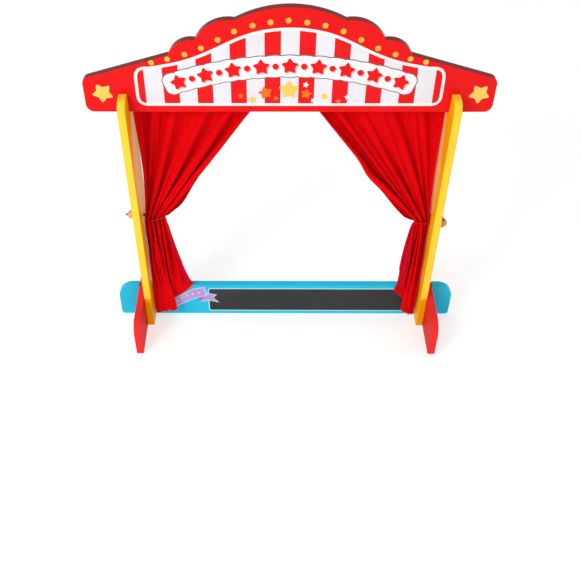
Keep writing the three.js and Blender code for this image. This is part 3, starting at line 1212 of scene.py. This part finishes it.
@dataclass
class Rail:
    """The rail across the bottom, with its painted chalkboard and ribbon."""

    face: float = -0.006
    # Least X and Z and greatest X and Z of the chalkboard
    board: tuple[float, float, float, float] = (-138.0, 9.4, 224.0, 62.4)
    board_radius: float = 4.5
    board_rim: float = 2.0
    ribbon: Points = (
        (-213.0, 8.0), (-205.0, 14.0), (-194.0, 21.6), (-179.2, 31.2), (-161.2, 39.9),
        (-149.5, 43.6), (-142.0, 45.8), (-145.4, 67.0), (-157.2, 65.4), (-167.3, 62.2),
        (-179.5, 55.0), (-191.4, 46.0), (-205.0, 35.8), (-216.0, 27.6),
    )
    tail: Points = (
        (-153.5, 31.0), (-139.1, 33.5), (-120.3, 28.9), (-130.6, 40.7), (-123.7, 48.4),
        (-142.5, 52.8), (-149.5, 44.0),
    )
    far_tail: Points = (
        (-234.0, 14.5), (-214.0, 15.5), (-208.0, 30.5), (-233.0, 31.5), (-226.5, 23.5),
    )
    fold: Points = ((-160.5, 40.2), (-153.5, 31.0), (-146.5, 44.6))
    ribbon_rim: float = 1.6
    ribbon_dot: float = 1.9
    ribbon_dots: Points = (
        (-197.5, 33.0), (-188.0, 40.5), (-178.0, 46.5), (-167.5, 50.8), (-156.5, 53.4),
    )

    def build(self) -> None:
        """Dress the rail and paint on it."""
        Board("stage_rail", Coat.RAIL)
        board = rounded_box(*self.board, self.board_radius)
        tails = [self.tail, self.far_tail]
        inner_tails = [inset(tail, self.ribbon_rim) for tail in tails]
        dots = [disc(x, z, self.ribbon_dot) for x, z in self.ribbon_dots]
        prints = [
            Print("rail_board_rim", [inset(board, -self.board_rim)], 1, Coat.BOARD_RIM),
            Print("rail_chalkboard", [board], 2, Coat.BOARD),
            Print("rail_ribbon_tail_rims", tails, 3, Coat.RIBBON_RIM),
            Print("rail_ribbon_tails", inner_tails, 4, Coat.RIBBON),
            Print("rail_ribbon_fold", [self.fold], 5, Coat.RIBBON_FOLD),
            Print("rail_ribbon_rim", [self.ribbon], 6, Coat.RIBBON_RIM),
            Print("rail_ribbon", [inset(self.ribbon, self.ribbon_rim)], 7, Coat.RIBBON),
            Print("rail_ribbon_dots", dots, 8, Coat.RIBBON_RIM),
        ]
        print_on("frame", self.face, prints)


# Curtains and their tie-backs


class Side(Enum):
    """The two sides of the stage, each with the sign of its X."""

    LEFT = -1
    RIGHT = 1

    @property
    def word(self) -> str:
        """Return the side's name as it stands in the model."""
        return self.name.lower()


@dataclass(frozen=True)
class Pocket:
    """The pocket that the rod goes through, from its stitching behind the rod up and over it.

    Across it, 0 is the curtain's leading edge and 1 the edge at the upright.
    """

    rod_y: float = 0.0219
    rod_z: float = 0.441
    rod_clear: float = 0.0061  # least distance of the cloth from the rod's middle
    cut: float = 0.04  # cloth that turns over the rod
    rows: int = 16
    row_step: float = 0.0027  # cloth from one row to the next
    # Angles of the first and last row round the rod, counted from behind it and up
    turn: tuple[float, float] = (-0.5 * math.pi - 0.12, 1.5 * math.pi - 0.35)
    radius: float = 0.0062
    gathers: int = 26
    gather_depth: float = 0.0016
    crowds: int = 3  # places where the gathers lie closer together
    crowding: float = 2.0  # how far they shift there, in radians of a gather
    swells: int = 7
    swell_depth: float = 0.0006
    swell_start: float = 1.0
    narrowing: float = 0.75  # share by which the pocket narrows under the rod
    seam_depth: float = 0.0012  # the larger, the further its two layers lie apart there
    seam_turn: float = 0.8

    def over(self, first_row: np.ndarray, across: np.ndarray) -> tuple[np.ndarray, np.ndarray]:
        """Return the pocket above a curtain's hanging cloth.

        Args:
            first_row: the row of the hanging cloth that the pocket ends on.
            across: where each of its columns lies across the curtain.

        Returns:
            Its points and how far above that row each lies in the flat cloth.
        """
        crowded = self.crowding * np.sin(2 * math.pi * self.crowds * across)
        gather = 0.5 + 0.5 * np.sin(2 * math.pi * self.gathers * across + crowded)
        swell = np.sin(2 * math.pi * self.swells * across + self.swell_start)
        radius = self.radius + self.gather_depth * gather + self.swell_depth * swell
        angles = np.linspace(*self.turn, self.rows)[:, None]
        low = np.clip(-np.sin(angles), 0, 1) ** 2
        behind = radius * np.cos(angles) * (1 - self.narrowing * low)
        fold = (first_row[:, 1] - self.rod_y) * low
        apart = self.seam_depth * low * np.cos(angles * 0.5 - self.seam_turn)
        y = self.rod_y + behind + fold + apart
        z = self.rod_z + radius * np.sin(angles)
        clear = np.maximum(1, self.rod_clear / np.hypot(y - self.rod_y, z - self.rod_z))
        y, z = self.rod_y + (y - self.rod_y) * clear, self.rod_z + (z - self.rod_z) * clear
        x = np.broadcast_to(first_row[:, 0], y.shape)
        above = np.linspace(self.rows, 1, self.rows)[:, None] * self.row_step
        return np.stack([x, y, z], axis=2), np.broadcast_to(above, y.shape)


@dataclass
class Curtain:
    """A curtain gathered on the rod and drawn back to its upright by the elastic.

    Across it, 0 is the leading edge and 1 the edge at the upright. X is measured outwards from
    the middle of the stage.
    """

    side: Side
    spread: float  # width on the rod
    bunch_width: float
    waist_inner: float  # height of the elastic at the leading edge
    waist_outer: float  # and at the upright
    slack: float  # spare length above the elastic at the leading edge, as a share
    # Widths of the half folds beside one another, the first from the front to the back
    pleats: tuple[float, ...]
    corner_lift: float  # how much shorter the cloth hangs at the leading edge
    bow: float  # how far the edge at the upright hangs away from it at most
    pucker: float  # how far the leading edge swells towards the middle of the stage
    # Plan of the hem from the leading edge outwards: millimetres from the upright, and Y
    hem: Points
    pocket: Pocket = Pocket()
    width: float = 0.236  # cut width of the cloth
    length: float = 0.428  # from the rod's middle to the hem
    thickness: float = 0.0007
    front: Colour = srgb(220, 2, 11)
    back: Colour = srgb(200, 3, 34)
    columns: int = 85
    upper_rows: int = 42
    lower_rows: int = 34
    edge: float = 0.2369  # X of the edge at the upright
    top: float = 0.433  # Z where the cloth leaves the pocket
    tilt: float = -0.112  # how far the hanging cloth leans to the audience, per metre
    easing: int = 4  # columns each way over which the folds' widths run into one another
    deepest: float = 0.02  # deepest fold that is tried
    halvings: int = 30  # how often the range that holds the right depth is halved
    bunch_edge: float = 0.2365
    bunch_depth: float = 0.017
    bunch_ahead: float = 0.0015  # how far the bunch lies towards the audience
    ease: float = 0.002  # spare length above the elastic right across, as a share
    fade: float = 1.5  # how fast what changes at the leading edge dies out across the cloth
    corner_width: float = 0.35  # share of the width over which the hem is lifted
    least_fall: float = 0.7  # least share of the cloth under the elastic that hangs down
    flare: float = 1.5  # how late the cloth spreads towards its hem, 1 for evenly
    hold: tuple[float, float] = (0.06, 0.3)  # how firmly it keeps to its plan below the elastic
    leading: float = 0.4  # share of the width that moves with the leading edge
    bow_low: float = 1.3  # how low the bow lies, 1 for half-way down
    pucker_at: float = 0.56  # where it swells, from 0 at the rod to 1 at the elastic
    pucker_reach: float = 0.1
    skirt_passes: int = 6  # how often the cloth below the elastic is smoothed down its length
    hem_rows: int = 10
    hem_passes: int = 3  # how often these last rows are smoothed across

    def __post_init__(self) -> None:
        """Work out the grid of the cloth."""
        self.across = np.linspace(0, 1, self.columns)
        self.rows = self.upper_rows + self.lower_rows + 1
        ends = np.concatenate([[0], np.cumsum(self.pleats)])
        turns = np.interp(self.across, ends / ends[-1], np.arange(len(ends)) / 2)
        padded = np.pad(turns, self.easing, mode="reflect", reflect_type="odd")
        window = np.ones(2 * self.easing + 1) / (2 * self.easing + 1)
        self.phase = 2 * math.pi * np.convolve(padded, window, "valid")
        self.pleat_depth = self._pleat_depth()
        self.along = self._along()

    @property
    def below_pocket(self) -> float:
        """Return the length of the cloth from the pocket to the hem."""
        return self.length - (self.pocket.rod_z - self.top)

    def _pleat_depth(self) -> float:
        """Return the depth of folds that spreads the cut width of the cloth over the rod.

        Returns:
            Half the distance from the front of the folds to their back.
        """
        low, high = 0.0, self.deepest
        for _ in range(self.halvings):
            depth = (low + high) / 2
            run = np.hypot(np.diff(self._rod_x()), np.diff(depth * np.cos(self.phase))).sum()
            low, high = (depth, high) if run < self.width else (low, depth)
        return depth

    def _rod_x(self) -> np.ndarray:
        """Return X of each column on the rod."""
        return self.edge - self.spread * (1 - self.across)

    def _waist(self) -> np.ndarray:
        """Return where the elastic holds each column, one point to a row.

        Returns:
            X, Y and Z of each column, with X measured outwards.
        """
        s = self.across
        x = self.bunch_edge - self.bunch_width * (1 - s)
        folds = np.cumsum(np.diff(s, prepend=0) * np.sign(np.sin(self.phase)))
        # Without their drift the folds lie about one line
        folds -= np.polyval(np.polyfit(s, folds, 3), s)
        y = folds * (self.bunch_depth / 2 / np.abs(folds).max()) - self.bunch_ahead
        z = self.waist_inner + (self.waist_outer - self.waist_inner) * s
        return np.stack([x, y, z], axis=1)

    def _along(self) -> np.ndarray:
        """Return how far below the pocket each row of each column lies in the flat cloth.

        Returns:
            The distances, as rows of columns.
        """
        s = self.across
        start = np.stack(
            [self._rod_x(), np.full_like(s, self.pocket.rod_y), np.full_like(s, self.top)], axis=1
        )
        centre = self._waist()
        centre[:, 1] = 0
        spare = 1 + self.ease + self.slack * (1 - s) ** self.fade
        waist = np.linalg.norm(start - centre, axis=1) * spare
        lift = self.corner_lift * np.clip(1 - s / self.corner_width, 0, 1) ** self.fade
        skirt = self.below_pocket - lift - waist
        upper = np.linspace(0, 1, self.upper_rows + 1)[:, None] * waist
        lower = waist + np.linspace(0, 1, self.lower_rows + 1)[1:, None] * skirt
        return np.vstack([upper, lower])

    def hanging(self) -> np.ndarray:
        """Return the cloth as it hangs undrawn, as rows of columns of points.

        Returns:
            The points, with X measured outwards.
        """
        x = np.broadcast_to(self._rod_x(), self.along.shape)
        wave = -self.pleat_depth * np.cos(self.phase)
        y = self.pocket.rod_y + wave[None, :] + self.tilt * self.along
        z = self.top - self.along * math.sqrt(1 - self.tilt**2)
        return np.stack([x, y, z], axis=2)

    def drawn(self) -> np.ndarray:
        """Return a first guess of the cloth as it is drawn back.

        Returns:
            The points as rows of columns, with X measured outwards.
        """
        points = self.hanging()
        waist = self._waist()
        t = np.linspace(0, 1, self.upper_rows + 1)[:, None, None]
        points[: self.upper_rows + 1] = points[0] * (1 - t) + waist * t
        down = self.along[self.upper_rows :] - self.along[self.upper_rows]
        share = down / down[-1]
        aside = self._hem() - waist[:, :2]
        least = self.least_fall * down[-1]
        fall = np.sqrt(np.maximum(down[-1] ** 2 - (aside**2).sum(axis=1), least**2))
        points[self.upper_rows :, :, :2] = waist[:, :2] + aside * (share**self.flare)[..., None]
        points[self.upper_rows :, :, 2] = waist[:, 2] - fall * share
        return points

    def _hem(self) -> np.ndarray:
        """Return X and Y of each column at the hem."""
        plan = [(self.bunch_edge / MM - inwards, y) for inwards, y in self.hem]
        return spaced(catmull_rom(plan, steps=12), self.columns) * MM

    def settled(self, points: np.ndarray) -> np.ndarray:
        """Return the draped cloth with its edges and hem eased to how they hang.

        Args:
            points: the cloth's points, with X measured outwards.

        Returns:
            The eased points.
        """
        s = self.across[None, :]
        row = np.arange(self.rows)[:, None]
        down = np.clip(row / self.upper_rows, 0, 1)
        outer = np.clip((s - self.leading) / (1 - self.leading), 0, 1) ** 2
        inner = np.clip(1 - s / self.leading, 0, 1) ** 2
        bow = self.bow * np.sin(math.pi * down**self.bow_low)
        wanted = self.edge - bow - (self.edge - self.bunch_edge) * down
        swell = np.exp(-(((down - self.pucker_at) / self.pucker_reach) ** 2))
        moved = points.copy()
        moved[..., 0] += (wanted - points[:, -1:, 0]) * outer * (row <= self.upper_rows)
        moved[..., 0] -= self.pucker * swell * inner
        ease_rows(moved[self.upper_rows :], self.skirt_passes)
        ease_rows(moved[-self.hem_rows :].swapaxes(0, 1), self.hem_passes)
        return moved

    def world(self, points: np.ndarray) -> np.ndarray:
        """Return points with X turned from outwards to this side of the stage, or back."""
        return points * np.array([self.side.value, 1, 1])

    def faces(self, rows: int) -> list[tuple[int, int, int, int]]:
        """Return the faces of a grid of this cloth.

        Args:
            rows: its number of rows.

        Returns:
            The four points of each face.
        """
        quads = []
        for start in range(0, (rows - 1) * self.columns, self.columns):
            for a in range(start, start + self.columns - 1):
                b = a + self.columns
                right = (a, b, b + 1, a + 1)
                quads.append(right if self.side is Side.RIGHT else (a, a + 1, b + 1, b))
        return quads


# How the cloth behaves while it drapes, as the simulation's own settings
CLOTH: Mapping[str, object] = {
    "quality": 6,
    "mass": 0.12,
    "tension_stiffness": 40,
    "compression_stiffness": 40,
    "shear_stiffness": 8,
    "bending_stiffness": 0.05,
    "tension_damping": 5,
    "compression_damping": 5,
    "shear_damping": 5,
    "bending_damping": 0.5,
    "air_damping": 1.5,
    "vertex_group_mass": "pins",
    "pin_stiffness": 1.0,
}
CLOTH_CONTACT: Mapping[str, object] = {
    "collision_quality": 2,
    "distance_min": 0.0007,
    "use_self_collision": True,
    "self_distance_min": 0.0009,
    "self_friction": 2,
}
BOARD_CONTACT: Mapping[str, object] = {"thickness_outer": 0.0005, "cloth_friction": 3}


def adjust(settings: bpy.types.bpy_struct, values: Mapping[str, object]) -> None:
    """Give a simulation its settings.

    Args:
        settings: what is adjusted.
        values: the settings by name.
    """
    for name, value in values.items():
        setattr(settings, name, value)


class Drapery:
    """Drapes the curtains by a cloth simulation, and turns them into finished pieces."""

    frames = 62
    drawn_by = 30  # frame at which the curtains are drawn back
    obstacles = ("stage_rail", "left_upright", "right_upright")
    flat_start = 0.05  # how far the flat cloth is counted from above the first hanging row

    def __init__(self, curtains: Sequence[Curtain]) -> None:
        """Take the curtains that are draped together."""
        self.curtains = curtains

    def drape(self) -> list[np.ndarray]:
        """Return each curtain's points as it ends up, as rows of columns.

        Returns:
            The points of each curtain.
        """
        cloths = [self._cloth(c) for c in self.curtains]
        boards = [self._obstacle(*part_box(name)) for name in self.obstacles]
        scene = bpy.context.scene
        scene.frame_start, scene.frame_end = 1, self.frames
        for step in range(1, self.frames + 1):
            scene.frame_set(step)
        graph = bpy.context.evaluated_depsgraph_get()
        ends = []
        for curtain, cloth in zip(self.curtains, cloths):
            mesh = cloth.evaluated_get(graph).data
            points = np.zeros(len(mesh.vertices) * 3)
            mesh.vertices.foreach_get("co", points)
            ends.append(points.reshape(curtain.rows, curtain.columns, 3))
        for spare in (*cloths, *boards):
            mesh = spare.data
            bpy.data.objects.remove(spare)
            bpy.data.meshes.remove(mesh)
        scene.frame_set(1)
        return ends

    def _obstacle(self, low: Vector, high: Vector) -> bpy.types.Object:
        """Return a box that cloth can't pass through.

        Args:
            low: its lowest corner.
            high: its highest corner.

        Returns:
            The box.
        """
        shape = bmesh.new()
        bmesh.ops.create_cube(shape, size=1)
        for vertex in shape.verts:
            shares = (part + 0.5 for part in vertex.co)
            vertex.co = Vector(a + (b - a) * share for a, b, share in zip(low, high, shares))
        mesh = bpy.data.meshes.new("obstacle")
        shape.to_mesh(mesh)
        shape.free()
        box = new_object("obstacle", mesh)
        box.modifiers.new("Collision", "COLLISION")
        adjust(box.collision, BOARD_CONTACT)
        return box

    def _cloth(self, curtain: Curtain) -> bpy.types.Object:
        """Return a curtain ready to be simulated.

        Args:
            curtain: the curtain.

        Returns:
            The cloth with its two shapes, its pins and its simulation.
        """
        start = curtain.world(curtain.hanging()).reshape(-1, 3)
        end = curtain.world(curtain.drawn()).reshape(-1, 3)
        mesh = bpy.data.meshes.new("cloth")
        mesh.from_pydata([tuple(p) for p in start], [], curtain.faces(curtain.rows))
        cloth = new_object("cloth", mesh)
        cloth.shape_key_add(name="Basis")
        key = cloth.shape_key_add(name="drawn")
        key.data.foreach_set("co", end.astype(np.float32).ravel())
        for step, value in ((1, 0.0), (self.drawn_by, 1.0)):
            key.value = value
            key.keyframe_insert("value", frame=step)
        pins = cloth.vertex_groups.new(name=CLOTH["vertex_group_mass"])
        n, waist = curtain.columns, curtain.upper_rows
        pins.add([*range(n), *range(waist * n, (waist + 1) * n)], 1.0, "REPLACE")
        least, most = curtain.hold
        for row in range(waist + 1, curtain.rows):
            firm = least + (most - least) * ((row - waist) / curtain.lower_rows)
            pins.add(list(range(row * n, (row + 1) * n)), firm, "REPLACE")
        modifier = cloth.modifiers.new("Cloth", "CLOTH")
        adjust(modifier.settings, CLOTH)
        adjust(modifier.collision_settings, CLOTH_CONTACT)
        modifier.point_cache.frame_end = self.frames
        return cloth

    def finish(self, curtain: Curtain, points: np.ndarray) -> None:
        """Make the finished curtain from its draped points.

        Args:
            curtain: the curtain.
            points: its points as rows of columns.
        """
        outwards = curtain.settled(curtain.world(points))
        pocket, above = curtain.pocket.over(outwards[0], curtain.across)
        whole = curtain.world(np.vstack([pocket, outwards]))
        along = np.vstack([-above, curtain.along]) + self.flat_start
        across = np.broadcast_to(curtain.across * curtain.width, along.shape)
        cut = np.stack([across, along, np.zeros_like(along)], axis=2)
        word = curtain.side.word
        name = f"{word}_curtain_cloth"
        mesh = bpy.data.meshes.new(name)
        faces = curtain.faces(curtain.rows + curtain.pocket.rows)
        mesh.from_pydata([tuple(p) for p in whole.reshape(-1, 3)], [], faces)
        mark_cut(mesh, cut.reshape(-1, 3))
        mesh.polygons.foreach_set("use_smooth", [True] * len(mesh.polygons))
        flat = {"length": curtain.below_pocket + self.flat_start, "width": curtain.width}
        face = Weave(f"{word}_cloth_face", curtain.front, **flat)
        back = Weave(f"{word}_cloth_back", curtain.back, **flat)
        piece = new_object(name, mesh, face.material(), back.material())
        smooth = piece.modifiers.new("smooth", "SUBSURF")
        smooth.levels = smooth.render_levels = 1
        body = piece.modifiers.new("body", "SOLIDIFY")
        body.thickness = curtain.thickness
        body.offset = 0
        body.material_offset = 1
        body.material_offset_rim = 0
        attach(piece, f"{word}_drape")
        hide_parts(f"{word}_curtain")
        size = (curtain.width, curtain.length + curtain.pocket.cut)
        log.info("draped %s", name)


@dataclass
class Tieback:
    """The elastic loop that holds a curtain, its knot and its wooden bead."""

    side: Side
    hanging: tuple[float, float] | None  # drop and reach of a bead that hangs
    hole: float = 0.229  # height of the hole in the upright
    inner_face: float = 0.238
    outer_face: float = 0.250
    radius: float = 0.001
    skin: float = 0.0007  # from the middle of the cloth's thickness to the elastic's face
    strand: float = 0.0015  # each strand's distance from the middle of the hole
    loop_angles: tuple[float, float] = (72.0, 288.0)  # where the loop touches the cloth
    touches: int = 40  # points of the loop that touch it
    loop_stretch: float = 0.006  # a length at the upright
    strand_stretch: float = 0.002
    mouth: float = 0.0005  # how far the loop leaves the hole before it turns
    bead_radius: float = 0.0075
    bead_gap: float = 0.0005
    bead_squeeze: float = 0.8  # share of the strands' distance that is left in the bead
    # Where the strands bend down: share of the reach outwards, and of the drop above the bead
    bend: tuple[float, float] = (0.75, 0.85)
    knot_size: float = 0.00046
    knot_gap: float = 0.0008  # from the bead to the knot's middle
    knot_share: float = 0.95  # of the elastic's thickness, as the knot is drawn tight
    knot_length: float = 1.3  # how much the knot is drawn out along the elastic

    def build(self, waist: np.ndarray) -> None:
        """Make the elastic and its knot, and dress the bead.

        Args:
            waist: points of the cloth that the loop goes round, with X measured outwards.
        """
        word, sign = self.side.word, self.side.value
        drape, bead = f"{word}_drape", f"{word}_bead"
        Board(f"{word}_tieback_bead", Coat.WOOD, eased=False)
        strands, knot_at, down = self._tail()
        loop = self._tube("loop", self._loop(waist))
        tails = [self._tube(f"strand_{i}", line) for i, line in enumerate(strands)]
        knot = self._tube("knot", self._knot(knot_at, down), self.knot_share, sides=10)
        sign * (self.inner_face - self.loop_stretch)
        sign * self.inner_face
        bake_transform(loop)
        for tail in tails:
            sign * self.outer_face
            sign * (self.outer_face + self.strand_stretch)
            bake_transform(tail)
        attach(knot, bead)
        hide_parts(f"{word}_tieback_cord")
        for piece in (loop, knot, *tails):
            log.info("tied %s", piece.name)

    def _tube(
        self, part: str, line: np.ndarray, share: float = 1.0, sides: int = 12
    ) -> bpy.types.Object:
        """Return a length of the elastic.

        Args:
            part: word for this length.
            line: its middle line, with X measured outwards.
            share: its thickness as a share of the elastic's.
            sides: number of its section's sides.

        Returns:
            The piece.
        """
        turned = line * np.array([self.side.value, 1, 1])
        name = f"{self.side.word}_tieback_{part}"
        return tube(name, turned, self.radius * share, Coat.ELASTIC, sides)

    def _loop(self, waist: np.ndarray) -> np.ndarray:
        """Return the line of the loop, from the middle of the hole round the cloth and back.

        Args:
            waist: points of the cloth, with X measured outwards.

        Returns:
            The points of the line, with X measured outwards.
        """
        reach = self.radius + self.skin
        around = []
        for angle in np.linspace(*np.radians(self.loop_angles), self.touches):
            way = np.array([math.cos(angle), math.sin(angle)])
            found = waist[np.argmax(waist[:, :2] @ way)]
            around.append((*(found[:2] + way * reach), found[2]))
        ring = np.array(around)
        ease_rows(ring, passes=3)
        y, z = self.strand, self.hole
        start = [(self._middle(), y, z), (self.inner_face - self.mouth, y, z)]
        end = [(x, -y, z) for x, _, _ in start[::-1]]
        return spaced(catmull_rom([*start, *ring[::2], *end], steps=6), count=140)

    def _middle(self) -> float:
        """Return X of the middle of the upright's thickness."""
        return (self.inner_face + self.outer_face) / 2

    def _tail(self) -> tuple[list[np.ndarray], np.ndarray, np.ndarray]:
        """Return the two strands to the knot, where the knot is, and the way the bead points.

        Returns:
            The strands' points, the knot's middle and the direction, with X outwards.
        """
        face, hole, squeeze = self.outer_face, self.hole, self.bead_squeeze
        # X, share of the strands' usual distance and Z of each point of the route
        if self.hanging is None:
            x = face + self.bead_gap + self.bead_radius
            far = x + self.bead_radius
            route = [
                (self._middle(), 1.0, hole),
                (face, 1.0, hole),
                (x, squeeze, hole),
                (far, squeeze, hole),
            ]
            steps, count = 6, 40
            knot, down = (far + self.knot_gap, 0, hole), (1.0, 0, 0)
        else:
            drop, reach = self.hanging
            x, z = face + reach, hole - drop
            route = [
                (self._middle(), 1.0, hole),
                (face + self.radius, 1.0, hole),
                (face + self.bend[0] * reach, 1.0, z + self.bend[1] * drop),
                (x, 0.9, z + self.bead_radius),
                (x, squeeze, z),
                (x, squeeze, z - self.bead_radius),
            ]
            steps, count = 8, 56
            knot, down = (x, 0, z - self.bead_radius - self.knot_gap), (0, 0, -1.0)
        strands = []
        for y in (self.strand, -self.strand):
            line = [(px, y * share, pz) for px, share, pz in route]
            strands.append(spaced(catmull_rom(line, steps), count))
        return strands, np.array(knot), np.array(down)

    def _knot(self, centre: np.ndarray, down: np.ndarray) -> np.ndarray:
        """Return the line of an overhand knot with two short ends.

        Args:
            centre: its middle.
            down: direction from the bead to the knot.

        Returns:
            The points of the line, with X measured outwards.
        """
        # The line stops short of a full turn, so that its two ends stand out
        t = np.linspace(0.25, 2 * math.pi + 0.05, 80)[:, None]
        side = np.array([0.0, 1.0, 0.0])
        third = np.cross(down, side)
        wide = (np.sin(t) + 2 * np.sin(2 * t)) * side
        high = (np.cos(t) - 2 * np.cos(2 * t)) * third
        return centre + self.knot_size * (wide + high + self.knot_length * -np.sin(3 * t) * down)


# The boards at each side


@dataclass
class Stand:
    """The uprights, feet and screws of both sides, and the rod."""

    screw_ends: tuple[str, ...] = ("front", "rear")

    def build(self) -> None:
        """Dress every board, screw and the rod."""
        for side in Side:
            Board(f"{side.word}_upright", Coat.UPRIGHT)
            Board(f"{side.word}_foot", Coat.FOOT)
            for end in self.screw_ends:
                Board(f"{side.word}_foot_screw_{end}", Coat.STEEL, eased=False)
        Board("curtain_rod", Coat.WOOD, eased=False)


# Studio


@dataclass
class Studio:
    """The floor, the lights and the camera of the photograph."""

    eye: Point3 = (-0.02758, -1.06829, 1.08534)
    pitch: float = 44.268  # degrees below level
    yaw: float = 0.386
    roll: float = -0.149
    sensor: float = 36.0
    lens: float = 50.83
    shift: tuple[float, float] = (0.0413, 0.0071)
    sees: tuple[float, float] = (0.01, 50.0)  # least and greatest distance
    sky: float = 0.6
    lit: Point3 = (0.0, 0.0, 0.3)  # point that the lamps face
    # Name, place, length of its sides and watts of each lamp
    lamps: tuple[tuple[str, Point3, float, float], ...] = (
        ("key", (-1.25, -1.45, 1.5), 0.85, 23.0),
        ("fill", (1.9, -2.1, 1.0), 2.0, 3.0),
        ("top", (0.2, 0.9, 2.6), 1.6, 6.0),
    )
    floor_size: float = 8.0
    floor_colour: Colour = (0.64, 0.57, 0.565)
    floor_glow: tuple[float, float, float, float] = (0.915, 1.0, 1.0, 1.0)
    floor_glow_strength: float = 0.58

    def place_camera(self) -> None:
        """Place the camera where the photograph was taken from."""
        data = bpy.data.cameras.new("camera")
        data.sensor_width = self.sensor
        data.lens = self.lens
        data.shift_x, data.shift_y = self.shift
        data.clip_start, data.clip_end = self.sees
        camera = bpy.data.objects.new("camera", data)
        camera.location = self.eye
        turn = (
            Matrix.Rotation(math.radians(self.yaw), 3, "Z")
            @ Matrix.Rotation(math.radians(90 - self.pitch), 3, "X")
            @ Matrix.Rotation(math.radians(self.roll), 3, "Z")
        )
        camera.rotation_euler = turn.to_euler()
        bpy.context.scene.collection.objects.link(camera)
        bpy.context.scene.camera = camera

    def light(self) -> None:
        """Add the floor, the soft lights and an even sky."""
        scene = bpy.context.scene
        scene.view_settings.view_transform = "Standard"
        self._floor()
        self._sky(scene)
        for lamp in self.lamps:
            self._lamp(*lamp)

    def _floor(self) -> None:
        """Add the white floor."""
        half = self.floor_size / 2
        mesh = bpy.data.meshes.new("floor")
        corners = [(-half, -half, 0), (half, -half, 0), (half, half, 0), (-half, half, 0)]
        mesh.from_pydata(corners, [], [(0, 1, 2, 3)])
        paint = Paint("floor_white")
        clouds = paint.noise(paint.place(), scale=1.5)
        finish = paint.surface(
            {
                "Base Color": paint.tinted(self.floor_colour, clouds, 0.01),
                "Roughness": 0.8,
                "Emission Color": self.floor_glow,
                "Emission Strength": self.floor_glow_strength,
            }
        )
        new_object("floor", mesh, finish)

    def _sky(self, scene: bpy.types.Scene) -> None:
        """Light the scene evenly from all round.

        Args:
            scene: the scene.
        """
        world = bpy.data.worlds.new("sky")
        world.use_nodes = True
        background = world.node_tree.nodes["Background"]
        background.inputs["Color"].default_value = (1.0, 1.0, 1.0, 1.0)
        background.inputs["Strength"].default_value = self.sky
        scene.world = world

    def _lamp(self, name: str, place: Point3, size: float, power: float) -> None:
        """Add a soft square lamp that faces the stand.

        Args:
            name: its name.
            place: where it stands.
            size: the length of its sides.
            power: its power in watts.
        """
        data = bpy.data.lights.new(name, "AREA")
        data.size = size
        data.energy = power
        lamp = bpy.data.objects.new(name, data)
        lamp.location = place
        way = Vector(self.lit) - Vector(place)
        lamp.rotation_euler = way.to_track_quat("-Z", "Y").to_euler()
        bpy.context.scene.collection.objects.link(lamp)


def main() -> None:
    """Dress the whole stand."""
    logging.basicConfig(level=logging.INFO, format="%(name)s: %(message)s")
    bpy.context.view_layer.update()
    studio = Studio()
    studio.place_camera()
    Stand().build()
    Sign().build()
    Rail().build()
    left = Curtain(
        Side.LEFT,
        spread=0.1895,
        bunch_width=0.0325,
        waist_inner=0.229,
        waist_outer=0.2195,
        slack=0.0005,
        pleats=(0.45, 0.45, 0.5, 0.5, 0.75, 0.75, 0.4, 0.4, 0.5, 0.5),
        corner_lift=0.02,
        bow=0.006,
        pucker=0.0028,
        pucker_at=0.86,
        flare=1.8,
        hem=(
            (53, -20), (64, -16), (78, -8), (66, -3), (46, -7), (24, -8), (22, -12), (40, -19),
            (46, -25), (34, -28), (20, -18), (18, -26), (6, -26), (0, -15),
        ),
    )
    right = Curtain(
        Side.RIGHT,
        spread=0.2017,
        bunch_width=0.022,
        waist_inner=0.218,
        waist_outer=0.220,
        slack=0.004,
        length=0.439,
        pleats=(7, 6, 8, 32, 11, 13, 14, 9),
        corner_lift=0.004,
        bow=0.002,
        pucker=0.007,
        hem=(
            (24, -20), (34, -15), (46, -9), (38, -8), (20, -10), (14, -12), (30, -18),
            (26, -25), (14, -26), (9, -15), (8, -25), (2, -23), (0, -14),
        ),
    )
    drapery = Drapery([left, right])
    # The left bead sits on its hole, and the right one hangs
    beads = {Side.LEFT: None, Side.RIGHT: (0.017, 0.0115)}
    for curtain, points in zip(drapery.curtains, drapery.drape()):
        drapery.finish(curtain, points)
        waist = curtain.world(points[curtain.upper_rows])
        Tieback(curtain.side, beads[curtain.side]).build(waist)
    studio.light()


if __name__ == "__main__":
    main()
